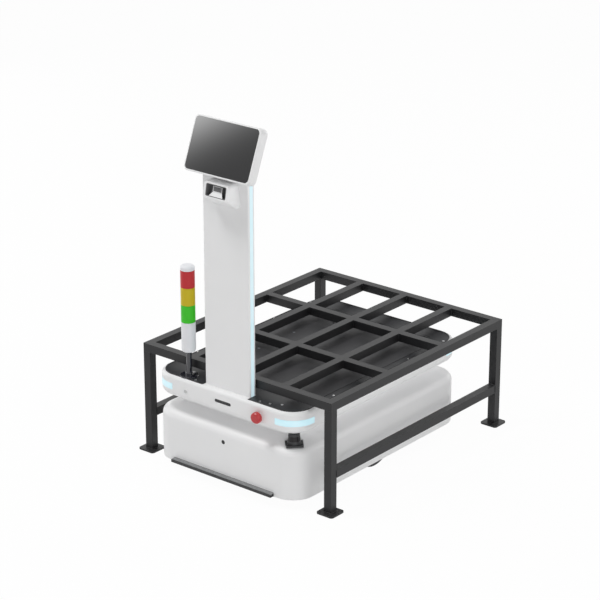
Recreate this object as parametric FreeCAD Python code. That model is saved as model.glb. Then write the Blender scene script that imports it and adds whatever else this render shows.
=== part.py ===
"""Lifting mobile robot with a display column, standing under its load rack.

Millimetres, +Z up, front of the robot towards -Y, +X to the right seen from the front.
Everything is drawn about the middle of the robot's body on the floor, and moved at the end so
that the origin lies on the floor in the middle of the whole part.
"""
import FreeCAD
import Part
import math
import os

Vec = FreeCAD.Vector

# Clearances
seat_gap = 0.3
running_gap = 0.1

# Body shells
body_width = 652.0
body_length = 940.0
corner_radius = 85.0
floor_gap = 33.0
shell_wall = 4.0
shoulder_z = 209.5
shoulder_rise = 26.8
shoulder_fillet = 26.0
waist_depth = 72.0
waist_height = 6.0
waist_fillet = 3.0
ring_bottom_z = 284.0
ring_fillet = 24.0
deck_z = 354.0
rim_fillet = 12.0
rim_width = 13.0
deck_thickness = 4.0
ledge_width = 17.0

# Deck screws, measured in from the nearest side and from the front or rear edge
screw_head_radius = 4.2
screw_head_height = 2.0
nose_screws = ((181.0, 26.0), (141.0, 31.4), (104.0, 49.5))
side_screw_front = 220.0
side_screw_rear = 88.0
side_screw_count = 4

# Chassis
base_plate_z = 50.0
base_plate_thickness = 6.0
waist_plate_thickness = 6.0
side_plate_thickness = 6.0
side_plate_half_length = 190.0
wheel_well_half_length = 112.0
cable_hole_half_x = 60.0
cable_hole_half_y = 40.0

# Drive wheels
wheel_radius = 100.0
tyre_thickness = 15.0
wheel_width = 45.0
wheel_inset = 26.0
wheel_bore_radius = 12.0
motor_radius = 42.0
motor_length = 130.0
motor_flange = 100.0
motor_flange_thickness = 8.0

# Casters
caster_inset_x = 113.0
caster_inset_y = 115.0
caster_radius = 37.5
caster_width = 26.0
caster_trail = 28.0
caster_axle_radius = 5.0
caster_stem_radius = 8.0
caster_room = 80.0
caster_shelf_thickness = 5.0
caster_plate_z = 100.0
caster_plate_thickness = 4.0
caster_plate_half_x = 50.0
caster_plate_half_y = 42.5
fork_thickness = 4.0

# Lift
lift_plate_inset = 40.0
lift_plate_front_gap = 63.4
lift_plate_rear_inset = 97.2
lift_plate_thickness = 8.0
lift_plate_corner = 40.0
lift_seam = 2.0
post_inset = 161.4
post_pitch_y = 98.4
post_radius = 12.0
post_pin_radius = 5.0
post_tail = 5.0
bush_radius = 22.0
bush_height = 54.0
carriage_height = 30.0
carriage_bar = 30.0
screw_radius = 10.0
screw_top_gap = 2.0
nut_radius = 24.0
nut_bottom_z = 216.0
nut_height = 40.0
lift_motor_size = 80.0
lift_motor_height = 112.0
lantern_height = 38.0
lift_travel = 60.0
top_hole_radius = 4.5
top_hole_pitch_x = 220.0
top_hole_pitch_y = 520.0

# Column
column_half_width = 101.0
column_setback = 26.4
column_depth = 33.0
column_wall = 3.0
column_corner = 6.0
column_foot_z = 278.0
column_foot_thickness = 10.0
column_foot_length = 120.0
column_top_z = 1230.0
light_depth = 16.0
light_thickness = 4.0

# Screen
screen_tilt = 22.0
screen_reach = 13.6
screen_z = 1216.1
glass_width = 274.0
glass_height = 178.8
glass_corner = 14.0
glass_thickness = 2.0
screen_rim = 6.0
screen_depth = 45.0
screen_frame_depth = 10.0
screen_back_fillet = 13.0
screen_wall = 3.0
display_seat = 6.0
display_board_half_x = 105.0
display_board_half_z = 62.0

# Camera pod
pod_tilt = 11.0
pod_reach = 46.5
pod_drop = 29.5
pod_screen_gap = 2.8
pod_front_half_x = 54.0
pod_front_half_z = 27.0
pod_base_half_x = 68.0
pod_base_taper = 12.0
pod_base_height = 91.0
pod_corner = 9.0
pod_wall = 2.5
recess_half_x = 43.8
recess_half_z = 21.0
recess_depth = 24.0
recess_corner = 5.0
camera_half_x = 19.5
camera_half_z = 9.5
camera_rise = 6.0
camera_set_in = 10.0
camera_rim = 1.6

# Front fittings
button_z = 313.5
estop_inset = 161.0
estop_radius = 20.0
estop_reach = 28.0
estop_shaft_radius = 8.0
estop_travel = 5.0
collar_radius = 13.0
collar_thickness = 2.0
press_gap = 0.5
power_inset = 158.0
power_radius = 6.0
power_travel = 1.5
slot_z = 317.7
slot_width = 73.0
slot_height = 12.0
nose_z = 169.9
nose_radius = 7.5
sensor_depth = 14.0
light_band_low_z = 304.0
light_band_high_z = 326.0
light_band_straight = 9.4
light_band_depth = 3.0

# Bumper
bumper_inset = 100.0
bumper_low_z = 34.0
bumper_height = 14.5
bumper_sheet = 2.5
bumper_fall = 2.0
bumper_reach = 20.0
bumper_lip = 3.0

# Scanners on the two corners
scanner_offset = 38.5
scanner_plate_width = 60.0
scanner_plate_depth = 48.0
scanner_plate_shift = 4.5
scanner_plate_z = 219.0
scanner_plate_thickness = 7.0
scanner_base_radius = 24.5
scanner_top_radius = 18.7
scanner_top_z = 266.0
scanner_window_low_z = 237.0
scanner_window_high_z = 254.0
scanner_room = 3.5
scanner_plate_room = 1.5
scanner_bore_radius = 13.0
rotor_radius = 9.0

# Signal tower
tower_inset_x = 137.5
tower_inset_y = 41.7
tower_radius = 25.0
tower_pole_radius = 10.0
tower_flange_radius = 33.0
tower_flange_thickness = 4.0
tower_neck_height = 10.0
tower_body_low_z = 448.0
tower_green_z = 556.2
tower_amber_z = 619.3
tower_red_z = 682.9
tower_cap_z = 744.8
tower_cap_height = 17.2
lens_wall = 2.5
lens_seam = 0.6
tower_core_radius = 7.0

# Boxes inside
battery_inset_x = 206.0
battery_inset_y = 193.0
battery_half_y = 155.0
battery_height = 150.0
computer_inset_x = 216.0
computer_inset_y = 140.0
computer_half_y = 85.0
computer_height = 74.0
box_spacing = 10.0
driver_half_y = 50.0
driver_height = 60.0
charge_port_half_x = 60.0
charge_port_low_z = 82.0
charge_port_high_z = 132.0
charge_port_depth = 22.0
charge_bar_half_x = 40.0
charge_bar_height = 10.0

# Rack
rack_gap = 3.4
rack_width = 847.0
rack_length = 987.0
rack_clearance = 25.0
rack_tube = 30.0
rack_tube_wall = 2.0
rack_rail_z = 128.5
cell_column_count = 4
cell_row_count = 3
foot_size = 70.0
foot_thickness = 6.0
foot_corner = 10.0

# Worked out from the sizes above
half_x = body_width / 2
half_y = body_length / 2
front_y = -half_y
column_front_y = front_y + column_setback
column_back_y = column_front_y + column_depth
waist_z = shoulder_z + shoulder_rise + waist_height / 2
wheel_outer_x = half_x - wheel_inset
caster_x = half_x - caster_inset_x
caster_y = half_y - caster_inset_y
lift_front_y = column_back_y + lift_plate_front_gap
lift_rear_y = half_y - lift_plate_rear_inset
lift_y = (lift_front_y + lift_rear_y) / 2
lift_plate_half_y = (lift_rear_y - lift_front_y) / 2
lift_plate_half_x = half_x - lift_plate_inset
post_x = half_x - post_inset
screen_y = column_front_y - screen_reach
estop_x = half_x - estop_inset
estop_head_thickness = estop_reach - collar_thickness - estop_travel - press_gap
power_x = power_inset - half_x
power_reach = collar_thickness + power_travel + press_gap
bumper_half_width = half_x - bumper_inset
tower_x = tower_inset_x - half_x
tower_y = front_y + tower_inset_y
battery_half_x = half_x - battery_inset_x
battery_y = half_y - battery_inset_y
computer_half_x = half_x - computer_inset_x
computer_y = front_y + computer_inset_y
driver_y = computer_y + computer_half_y + box_spacing + driver_half_y
scanner_pocket_radius = scanner_base_radius + scanner_room
inner_inset = shell_wall + seat_gap
waist_inset = waist_depth + shell_wall + seat_gap
floor_top_z = base_plate_z + base_plate_thickness
waist_plate_low_z = waist_z - waist_plate_thickness * 0.7
waist_plate_top_z = waist_plate_low_z + waist_plate_thickness
post_bottom_z = waist_plate_low_z - lift_travel - post_tail
corner_x = half_x - corner_radius
corner_y = half_y - corner_radius
lift_plate_low_z = deck_z - lift_plate_thickness
side_plate_x = wheel_outer_x - wheel_width - 13.0
glass_half_x = glass_width / 2
glass_half_z = glass_height / 2
screen_half_z = glass_half_z + screen_rim
screen_lean = math.radians(screen_tilt)
screen_bottom_z = (screen_z - screen_half_z * math.cos(screen_lean)
                   - screen_depth * math.sin(screen_lean))
pod_base_high_z = screen_bottom_z - pod_screen_gap
pod_base_low_z = pod_base_high_z - pod_base_height
pod_y = column_front_y - pod_reach
pod_z = pod_base_high_z - pod_drop
rack_height = deck_z + rack_clearance + rack_tube
rack_half_x = rack_width / 2
rack_half_y = rack_length / 2
rack_offset = column_back_y + rack_gap + rack_half_y
caster_top_z = caster_plate_z + caster_plate_thickness
front_reach = front_y - estop_reach
rear_reach = rack_offset + rack_half_y + (foot_size - rack_tube) / 2
origin_y = (front_reach + rear_reach) / 2


def box(low_x, high_x, low_y, high_y, low_z, high_z):
    corner = Vec(low_x, low_y, low_z)
    return Part.makeBox(high_x - low_x, high_y - low_y, high_z - low_z, corner)


def rod(x, y, low_z, high_z, radius):
    return Part.makeCylinder(radius, high_z - low_z, Vec(x, y, low_z))


def rod_along(start, direction, length, radius):
    return Part.makeCylinder(radius, length, start, direction)


def unit(a, b):
    length = math.hypot(a, b)
    return a / length, b / length


def rounded_wire(points, place):
    """Closed wire through (a, b, size) points; place(a, b) puts a point in space.

    A size above 0 is the radius of a fillet, and one below 0 is a straight bevel's length.
    """
    corners = []
    count = len(points)
    for index, (a, b, radius) in enumerate(points):
        if radius == 0:
            corners.append((place(a, b),))
            continue
        before = points[index - 1]
        after = points[(index + 1) % count]
        ua, ub = unit(before[0] - a, before[1] - b)
        va, vb = unit(after[0] - a, after[1] - b)
        if radius < 0:
            corners.append((place(a - ua * radius, b - ub * radius),
                            place(a - va * radius, b - vb * radius)))
            continue
        half_angle = math.acos(ua * va + ub * vb) / 2
        reach = radius / math.tan(half_angle)
        inset = radius / math.sin(half_angle) - radius
        wa, wb = unit(ua + va, ub + vb)
        start = place(a + ua * reach, b + ub * reach)
        middle = place(a + wa * inset, b + wb * inset)
        end = place(a + va * reach, b + vb * reach)
        corners.append((start, middle, end))
    edges = []
    for index, corner in enumerate(corners):
        if len(corner) == 3:
            edges.append(Part.Arc(*corner).toShape())
        elif len(corner) == 2:
            edges.append(Part.LineSegment(*corner).toShape())
        following = corners[(index + 1) % count][0]
        if (corner[-1] - following).Length > 1e-6:
            edges.append(Part.LineSegment(corner[-1], following).toShape())
    return Part.Wire(edges)


def rectangle(half_a, half_b, radius, centre_a=0.0, centre_b=0.0):
    signs = ((-1, -1), (1, -1), (1, 1), (-1, 1))
    return [(centre_a + s * half_a, centre_b + t * half_b, radius) for s, t in signs]


def prism(points, low_z, high_z):
    """Upright prism over a rounded outline in plan."""
    face = Part.Face(rounded_wire(points, lambda a, b: Vec(a, b, low_z)))
    return face.extrude(Vec(0, 0, high_z - low_z))


def front_prism(points, low_y, high_y):
    """Prism along Y over a rounded outline of (x, z)."""
    face = Part.Face(rounded_wire(points, lambda a, b: Vec(a, low_y, b)))
    return face.extrude(Vec(0, high_y - low_y, 0))


def side_prism(points, low_x, high_x):
    """Prism along X over a rounded outline of (y, z)."""
    face = Part.Face(rounded_wire(points, lambda a, b: Vec(low_x, a, b)))
    return face.extrude(Vec(high_x - low_x, 0, 0))


def turned(points, x=0.0, y=0.0):
    """Solid turned about an upright axis from (radius, z, fillet) points."""
    face = Part.Face(rounded_wire(points, lambda a, b: Vec(x + a, y, b)))
    return face.revolve(Vec(x, y, 0), Vec(0, 0, 1), 360)


def joined(shapes):
    first, rest = shapes[0], list(shapes[1:])
    if not rest:
        return first
    return first.fuse(rest).removeSplitter()


def plan(inset, low_z, high_z):
    """Slab with the body's outline, drawn in by the inset."""
    points = rectangle(half_x - inset, half_y - inset, corner_radius - inset)
    return prism(points, low_z, high_z)


def body_ring(section):
    """Ring round the body from a section of (inset from the side, z, fillet) points."""
    pieces = []
    corners = ((corner_x, -corner_y, -90), (corner_x, corner_y, 0),
               (-corner_x, corner_y, 90), (-corner_x, -corner_y, 180))
    for index, (x, y, start) in enumerate(corners):
        end = math.radians(start + 90)

        def place(inset, z, angle):
            reach = corner_radius - inset
            return Vec(x + reach * math.cos(angle), y + reach * math.sin(angle), z)

        first = Part.Face(rounded_wire(section, lambda a, b: place(a, b, math.radians(start))))
        pieces.append(first.revolve(Vec(x, y, 0), Vec(0, 0, 1), 90))
        last = Part.Face(rounded_wire(section, lambda a, b: place(a, b, end)))
        next_x, next_y, _ = corners[(index + 1) % 4]
        pieces.append(last.extrude(Vec(next_x - x, next_y - y, 0)))
    return joined(pieces)


def corner_band(index, inset, depth, low_z, high_z, straight):
    """Band wrapped round one corner of the body, running a little way along both sides."""
    x = corner_x if index in (0, 1) else -corner_x
    y = corner_y if index in (1, 2) else -corner_y
    start = (-90, 0, 90, 180)[index]
    points = [(inset, low_z), (inset + depth, low_z), (inset + depth, high_z), (inset, high_z)]
    pieces = []
    for turn, run in ((0, -straight), (90, straight)):
        angle = math.radians(start + turn)
        radial = Vec(math.cos(angle), math.sin(angle), 0)
        along = Vec(-math.sin(angle), math.cos(angle), 0)
        placed = [Vec(x, y, z) + radial * (corner_radius - d) for d, z in points]
        face = Part.Face(Part.makePolygon(placed + placed[:1]))
        pieces.append(face.extrude(along * run))
        if turn == 0:
            pieces.append(face.revolve(Vec(x, y, 0), Vec(0, 0, 1), 90))
    return joined(pieces)


def lower_outline():
    """Outer line of the lower shell, from the floor side up to the waist."""
    return [(0, floor_gap, 0), (0, shoulder_z, shoulder_fillet),
            (waist_depth, shoulder_z + shoulder_rise, waist_fillet), (waist_depth, waist_z, 0)]


def upper_outline():
    """Outer line of the upper shell, from the waist up to the deck."""
    low = waist_z + waist_height / 2
    return [(waist_depth, waist_z + seat_gap, 0), (waist_depth, low, waist_fillet),
            (0, ring_bottom_z, ring_fillet), (0, deck_z, rim_fillet)]


def filled_body(outline, low_z, high_z):
    """The body filled right through behind an outer line, for trimming bosses to its skin."""
    core = corner_radius - 0.5
    ring = body_ring(outline + [(core, high_z, 0), (core, low_z, 0)])
    middle = box(-corner_x - 1, corner_x + 1, -corner_y - 1, corner_y + 1, low_z, high_z)
    return joined([ring, middle])


def scanner_sites():
    """Axis and outward direction of the two corner scanners, front right and rear left."""
    step = scanner_offset / math.sqrt(2)
    x = corner_x + step
    y = corner_y + step
    return ((x, -y, -45.0), (-x, y, 135.0))


def scanner_box(site, half_width, depth, low_z, high_z, shift=0.0):
    """Box square to the corner's diagonal, about a scanner's axis."""
    x, y, angle = site
    block = box(-depth / 2 + shift, depth / 2 + shift, -half_width, half_width, low_z, high_z)
    block.rotate(Vec(0, 0, 0), Vec(0, 0, 1), angle)
    block.translate(Vec(x, y, 0))
    return block


def pocket_block(site, margin, low_z, high_z):
    """Room for a scanner's plate and body, grown by a margin."""
    plate = scanner_box(site, scanner_plate_width / 2 + margin, scanner_plate_depth + 2 * margin,
                        low_z, high_z, scanner_plate_shift)
    round_part = rod(site[0], site[1], low_z, high_z, scanner_pocket_radius + margin)
    return plate.fuse(round_part)


def lower_shell():
    slope = math.atan2(shoulder_rise, waist_depth)
    drop = shell_wall / math.cos(slope)
    inner = [(waist_depth + shell_wall, waist_z, 0),
             (waist_depth + shell_wall,
              shoulder_z - drop + (waist_depth + shell_wall) * math.tan(slope), 0),
             (shell_wall, shoulder_z - drop + shell_wall * math.tan(slope),
              shoulder_fillet - shell_wall),
             (shell_wall, floor_gap, 0)]
    shell = body_ring(lower_outline() + inner)
    filled = filled_body(lower_outline(), floor_gap, waist_z)
    margin = scanner_plate_room
    for site in scanner_sites():
        seat = pocket_block(site, margin + shell_wall, scanner_plate_z - shell_wall, waist_z)
        shell = shell.fuse(seat.common(filled))
        shell = shell.cut(pocket_block(site, margin, scanner_plate_z, waist_z + 1))
    nose = rod_along(Vec(0, front_y - 1, nose_z), Vec(0, 1, 0), shell_wall + 2,
                     nose_radius + seat_gap)
    port = box(-charge_port_half_x - seat_gap, charge_port_half_x + seat_gap,
               half_y - shell_wall - 1, half_y + 1,
               charge_port_low_z - seat_gap, charge_port_high_z + seat_gap)
    return shell.cut(nose).cut(port).removeSplitter()


def upper_shell():
    low = waist_z + waist_height / 2
    slope = math.atan2(ring_bottom_z - low, waist_depth)
    lift = shell_wall / math.cos(slope)
    ledge_z = deck_z - deck_thickness
    inner = [(rim_width, deck_z, 0), (rim_width, ledge_z, 0),
             (rim_width + ledge_width, ledge_z, 0),
             (rim_width + ledge_width, ledge_z - shell_wall, 0),
             (shell_wall, ledge_z - shell_wall, 0),
             (shell_wall, ring_bottom_z + lift - shell_wall * math.tan(slope),
              ring_fillet - shell_wall),
             (waist_depth + shell_wall,
              ring_bottom_z + lift - (waist_depth + shell_wall) * math.tan(slope), 0),
             (waist_depth + shell_wall, waist_z + seat_gap, 0)]
    shell = body_ring(upper_outline() + inner)
    tongue = box(-column_half_width, column_half_width, front_y + rim_width - 1,
                 column_back_y, ledge_z - shell_wall, deck_z)
    shell = shell.fuse(tongue)
    filled = filled_body(upper_outline(), waist_z + seat_gap, deck_z)
    cap_room = scanner_top_z + shell_wall
    for site in scanner_sites():
        x, y, _ = site
        boss = rod(x, y, waist_z, cap_room + shell_wall, scanner_pocket_radius + shell_wall)
        shell = shell.fuse(boss.common(filled))
        shell = shell.cut(rod(x, y, waist_z - 1, cap_room, scanner_pocket_radius))
    holes = [rod_along(Vec(estop_x, front_y - 1, button_z), Vec(0, 1, 0), shell_wall + 2,
                       collar_radius - 1),
             rod_along(Vec(power_x, front_y - 1, button_z), Vec(0, 1, 0), shell_wall + 2,
                       power_radius + 1),
             front_prism(rectangle(slot_width / 2, slot_height / 2, slot_height / 2 - 0.1,
                                   0, slot_z), front_y - 1, front_y + shell_wall + 1),
             column_slot()]
    for index in range(4):
        holes.append(corner_band(index, -1.0, light_band_depth + 1.0,
                                 light_band_low_z - seat_gap, light_band_high_z + seat_gap,
                                 light_band_straight + seat_gap))
    return shell.cut(holes).removeSplitter()


def column_slot():
    """Slot in the column's seat on the deck, for the frame that stands in the column."""
    room = seat_gap
    return box(-frame_half_x() - room, frame_half_x() + room,
               column_front_y + column_wall, column_back_y - column_wall + room,
               deck_z - deck_thickness - shell_wall - 1, deck_z + 1)


def frame_half_x():
    """Half the width of the upright that stands inside the column."""
    return column_half_width - light_thickness - column_wall - 2 * seat_gap


def deck_panel():
    low = deck_z - deck_thickness
    panel = plan(rim_width + seat_gap, low, deck_z)
    opening = prism(rectangle(lift_plate_half_x + lift_seam, lift_plate_half_y + lift_seam,
                              lift_plate_corner + lift_seam, 0, lift_y), low - 1, deck_z + 1)
    seat = box(-column_half_width - seat_gap, column_half_width + seat_gap, front_y,
               column_back_y + seat_gap, low - 1, deck_z + 1)
    return panel.cut([opening, seat])


def deck_screws():
    """Pan heads that hold the deck panel down on the shell's ledge."""
    places = [(half_x - x, front_y + y) for x, y in nose_screws]
    places.append((nose_screws[0][0] - half_x, front_y + nose_screws[0][1]))
    side_x = half_x - rim_width - ledge_width / 3
    first = front_y + side_screw_front
    pitch = (half_y - side_screw_rear - first) / (side_screw_count - 1)
    for step in range(side_screw_count):
        places += [(side_x, first + step * pitch), (-side_x, first + step * pitch)]
    return [rod(x, y, deck_z, deck_z + screw_head_height, screw_head_radius) for x, y in places]


def chassis_frame():
    """Base plate, side plates, waist plate and the raised corners over the casters."""
    plates = [base_plate(), waist_plate()]
    for side in (-1, 1):
        plates.append(side_plate(side))
    for x, y in caster_places():
        plates += caster_corner(x, y)
    return plates


def base_plate():
    """Plate with a tab to the front and rear between the casters, and the two wheel slots."""
    base = plan(inner_inset, base_plate_z, floor_top_z)
    cuts = []
    for side in (-1, 1):
        inner = side * (side_plate_x + side_plate_thickness)
        outer = side * (wheel_outer_x + 6)
        cuts.append(box(min(inner, outer), max(inner, outer), -wheel_well_half_length,
                        wheel_well_half_length, base_plate_z - 1, floor_top_z + 1))
    for x, y in caster_places():
        cuts.append(caster_bay(x, y, 0, base_plate_z - 1, floor_top_z + 1, 1))
    return base.cut(cuts)


def caster_bay(x, y, inset, low_z, high_z, beyond=0.0):
    """Block over one caster, from its inner limits out to the inside of the shell."""
    inner_x = x - math.copysign(caster_room - inset, x)
    inner_y = y - math.copysign(caster_room - inset, y)
    outer_x = math.copysign(half_x - inner_inset + beyond, x)
    outer_y = math.copysign(half_y - inner_inset + beyond, y)
    return box(min(inner_x, outer_x), max(inner_x, outer_x), min(inner_y, outer_y),
               max(inner_y, outer_y), low_z, high_z)


def caster_corner(x, y):
    """Raised shelf that one caster bolts to, and the two walls that carry it."""
    wall = caster_shelf_thickness
    high = caster_top_z + wall
    shelf = caster_bay(x, y, 0, caster_top_z, high).common(plan(inner_inset, caster_top_z, high))
    shelf = shelf.cut(rod(x, y, caster_top_z - 1, high + 1, caster_stem_radius + 2))
    bay = caster_bay(x, y, 0, base_plate_z, caster_top_z)
    inner_x = x - math.copysign(caster_room, x)
    inner_y = y - math.copysign(caster_room, y)
    wall_x = inner_x + math.copysign(wall, x)
    wall_y = inner_y + math.copysign(wall, y)
    along_y = box(min(inner_x, wall_x), max(inner_x, wall_x), -half_y, half_y,
                  base_plate_z, caster_top_z)
    along_x = box(-half_x, half_x, min(inner_y, wall_y), max(inner_y, wall_y),
                  base_plate_z, caster_top_z)
    return [shelf, bay.common(along_y), bay.common(along_x).cut(along_y)]


def side_plate(side):
    """Upright plate that carries one drive wheel's gearmotor and the waist plate's edge."""
    low_x = side * side_plate_x
    high_x = side * (side_plate_x + side_plate_thickness)
    plate = side_prism([(-side_plate_half_length, floor_top_z, 0),
                        (side_plate_half_length, floor_top_z, 0),
                        (side_plate_half_length, waist_plate_low_z, -20),
                        (-side_plate_half_length, waist_plate_low_z, -20)],
                       min(low_x, high_x), max(low_x, high_x))
    shaft_hole = rod_along(Vec(min(low_x, high_x) - 1, 0, wheel_radius), Vec(1, 0, 0),
                           side_plate_thickness + 2, wheel_bore_radius + 8)
    return plate.cut(shaft_hole)


def waist_plate():
    """Plate at the waist that both shells clamp to, with the holes the lift runs through."""
    below = waist_plate_low_z - 1
    above = waist_plate_top_z + 1
    points = rectangle(half_x - waist_inset, half_y - waist_inset,
                       max(2.0, corner_radius - waist_inset))
    plate = prism(points, waist_plate_low_z, waist_plate_top_z)
    holes = [rod(0, lift_y, below, above, nut_radius + 8)]
    for x, y in post_places():
        holes.append(rod(x, y, below, above, post_radius + 4))
    for y in (driver_y, battery_y):
        holes.append(box(-cable_hole_half_x, cable_hole_half_x, y - cable_hole_half_y,
                         y + cable_hole_half_y, below, above))
    boss_radius = scanner_pocket_radius + scanner_plate_room + shell_wall + seat_gap
    for x, y, _ in scanner_sites():
        holes.append(rod(x, y, below, above, boss_radius))
    return plate.cut(holes)


def post_places():
    return [(sx * post_x, lift_y + sy * post_pitch_y) for sx in (-1, 1) for sy in (-1, 1)]


def column_frame():
    """Hollow upright in the column, with the foot that bolts it to the waist plate."""
    half = frame_half_x()
    front = column_front_y + column_wall + seat_gap
    back = column_back_y - column_wall - seat_gap
    low = column_foot_z + column_foot_thickness
    tube = box(-half, half, front, back, low, column_top_z)
    bore = box(-half + column_wall, half - column_wall, front + column_wall, back - column_wall,
               low, column_top_z)
    foot = box(-half, half, front, front + column_foot_length, column_foot_z, low)
    ribs = []
    for x in (-half + 6, 0, half - 6):
        rib_front = front_y + waist_inset + 2
        ribs.append(box(x - 4, x + 4, rib_front, front + column_foot_length,
                        waist_plate_top_z, column_foot_z))
    upright = tube.cut(bore).cut(screen_cutter())
    return joined([upright, foot] + ribs)


def screen_cutter():
    """Everything ahead of the back of the screen, which the column's top is trimmed to."""
    depth = screen_depth + seat_gap
    block = box(-glass_width, glass_width, -glass_width, depth, -screen_half_z - seat_gap,
                glass_width)
    return tilted(block, screen_y, screen_z, screen_tilt)


def tilted(shape, y, z, angle):
    """Lean a shape drawn upright about the origin backwards, and put it in its place."""
    shape.rotate(Vec(0, 0, 0), Vec(1, 0, 0), -angle)
    shape.translate(Vec(0, y, z))
    return shape


def column_front_shell():
    low = deck_z + seat_gap
    back = column_front_y + column_corner
    outer = [(-column_half_width, back, 0), (-column_half_width, column_front_y, column_corner),
             (column_half_width, column_front_y, column_corner), (column_half_width, back, 0)]
    inner_x = column_half_width - column_wall
    inner = [(inner_x, back, 0), (inner_x, column_front_y + column_wall,
                                  column_corner - column_wall),
             (-inner_x, column_front_y + column_wall, column_corner - column_wall),
             (-inner_x, back, 0)]
    face = Part.Face(rounded_wire(outer + inner, lambda a, b: Vec(a, b, low)))
    return face.extrude(Vec(0, 0, column_top_z - low)).cut(screen_cutter())


def column_back_cover():
    low = deck_z + seat_gap
    wall = column_wall
    step_y = column_front_y + column_corner + light_depth + 2 * seat_gap
    side_x = column_half_width - light_thickness - seat_gap
    start_y = column_front_y + wall + 2 * seat_gap
    right = [(side_x - wall, start_y, 0), (side_x, start_y, 0), (side_x, step_y, 0),
             (column_half_width, step_y, 0), (column_half_width - 3, column_back_y, 5)]
    outer = right + [(-a, b, r) for a, b, r in reversed(right)]
    inner_y = column_back_y - wall
    inner = [(-side_x + wall, inner_y, 0), (side_x - wall, inner_y, 0)]
    face = Part.Face(rounded_wire(outer + inner, lambda a, b: Vec(a, b, low)))
    return face.extrude(Vec(0, 0, column_top_z - low)).cut(screen_cutter())


def column_light_strips():
    low = deck_z + seat_gap
    start_y = column_front_y + column_corner + seat_gap
    strips = []
    for side in (-1, 1):
        inner = side * (column_half_width - light_thickness)
        outer = side * column_half_width
        strip = box(min(inner, outer), max(inner, outer), start_y, start_y + light_depth,
                    low, column_top_z)
        strips.append(strip.cut(screen_cutter()))
    return strips


def on_screen(shape):
    return tilted(shape, screen_y, screen_z, screen_tilt)


def screen_outline(grow):
    return rectangle(glass_half_x + grow, glass_half_z + grow, glass_corner + grow)


def screen_glass():
    return on_screen(front_prism(screen_outline(0), 0, glass_thickness))


def screen_front_frame():
    body = front_prism(screen_outline(screen_rim), 0, screen_frame_depth)
    front_edges = [e for e in body.Edges if e.BoundBox.YMax < 0.01]
    body = body.makeFillet(3.0, front_edges)
    opening = front_prism(screen_outline(seat_gap), -1, glass_thickness + seat_gap)
    inside = front_prism(screen_outline(-6), 0, screen_frame_depth + 1)
    return on_screen(body.cut([opening, inside]))


def screen_rear_housing():
    start = screen_frame_depth + seat_gap
    body = front_prism(screen_outline(screen_rim), start, screen_depth)
    back_edges = [e for e in body.Edges if e.BoundBox.YMin > screen_depth - 0.01]
    body = body.makeFillet(screen_back_fillet, back_edges)
    hollow = front_prism(screen_outline(screen_rim - screen_wall), start - 1,
                         screen_depth - screen_wall)
    hollow_back = [e for e in hollow.Edges if e.BoundBox.YMin > screen_depth - screen_wall - 0.01]
    hollow = hollow.makeFillet(screen_back_fillet - screen_wall, hollow_back)
    bosses = []
    for sx in (-1, 1):
        for sz in (-1, 1):
            start_at = Vec(sx * 90, display_back(), sz * 55)
            bosses.append(rod_along(start_at, Vec(0, 1, 0),
                                    screen_depth - screen_wall - display_back() + 1, 5))
    return on_screen(body.cut(hollow).fuse(bosses).removeSplitter())


def display_back():
    """Depth of the display module's back behind the glass."""
    return glass_thickness + seat_gap + 16.0


def display_module():
    start = glass_thickness + seat_gap
    panel = front_prism(screen_outline(-display_seat - seat_gap), start, start + 9)
    board = front_prism(rectangle(display_board_half_x, display_board_half_z, 4), start + 9,
                        display_back())
    return on_screen(panel.fuse(board).removeSplitter())


def on_pod(shape):
    return tilted(shape, pod_y, pod_z, pod_tilt)


def pod_body(inset, front_set_back, back_y):
    """Wedge between the column's face and the leaning front of the camera pod."""
    front_points = rectangle(pod_front_half_x - inset, pod_front_half_z - inset,
                             pod_corner - inset * 0.5)
    front = on_pod(rounded_wire(front_points, lambda a, b: Vec(a, front_set_back, b)))
    low_half = pod_base_half_x - inset
    high_half = low_half - pod_base_taper
    low_z = pod_base_low_z + inset
    high_z = pod_base_high_z - inset
    round_size = pod_corner + 8
    base_points = [(-low_half, low_z, round_size), (low_half, low_z, round_size),
                   (high_half, high_z, round_size), (-high_half, high_z, round_size)]
    base = rounded_wire(base_points, lambda a, b: Vec(a, back_y, b))
    return Part.makeLoft([base, front], True, True)


def camera_pod_shell():
    """Shell of the pod, and the pale ramp with the window's rim that sits in its recess."""
    body = pod_body(0, 0, column_front_y)
    hollow = pod_body(pod_wall, pod_wall, column_front_y + 0.01)
    mouth = on_pod(front_prism(rectangle(recess_half_x + seat_gap, recess_half_z + seat_gap,
                                         recess_corner + seat_gap), -5, pod_wall + 3))
    ramp_back = camera_set_in - seat_gap
    floor_z = 2.0 - recess_half_z
    high_z = camera_rise - camera_half_z - 0.2
    ramp = side_prism([(2.0, floor_z, 0), (ramp_back, floor_z, 0), (ramp_back, high_z, 0)],
                      -camera_half_x, camera_half_x)
    wide = camera_half_x + 10.5
    cheeks = []
    for side in (-1, 1):
        outline = [Vec(side * camera_half_x, 2.0, floor_z), Vec(side * wide, 2.0, floor_z),
                   Vec(side * camera_half_x, ramp_back, floor_z),
                   Vec(side * camera_half_x, ramp_back, high_z)]
        cheeks.append(tetrahedron(outline))
    rim = front_prism(rectangle(camera_half_x, camera_half_z, 0, 0, camera_rise),
                      camera_set_in - 2.0, ramp_back)
    window = front_prism(rectangle(camera_half_x - camera_rim, camera_half_z - camera_rim, 0,
                                   0, camera_rise), 0, camera_set_in)
    return [body.cut(hollow).cut(mouth), on_pod(joined([ramp, rim] + cheeks).cut(window))]


def tetrahedron(points):
    faces = []
    for skip in range(4):
        three = [p for index, p in enumerate(points) if index != skip]
        faces.append(Part.Face(Part.makePolygon(three + three[:1])))
    return Part.makeSolid(Part.makeShell(faces))


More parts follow.
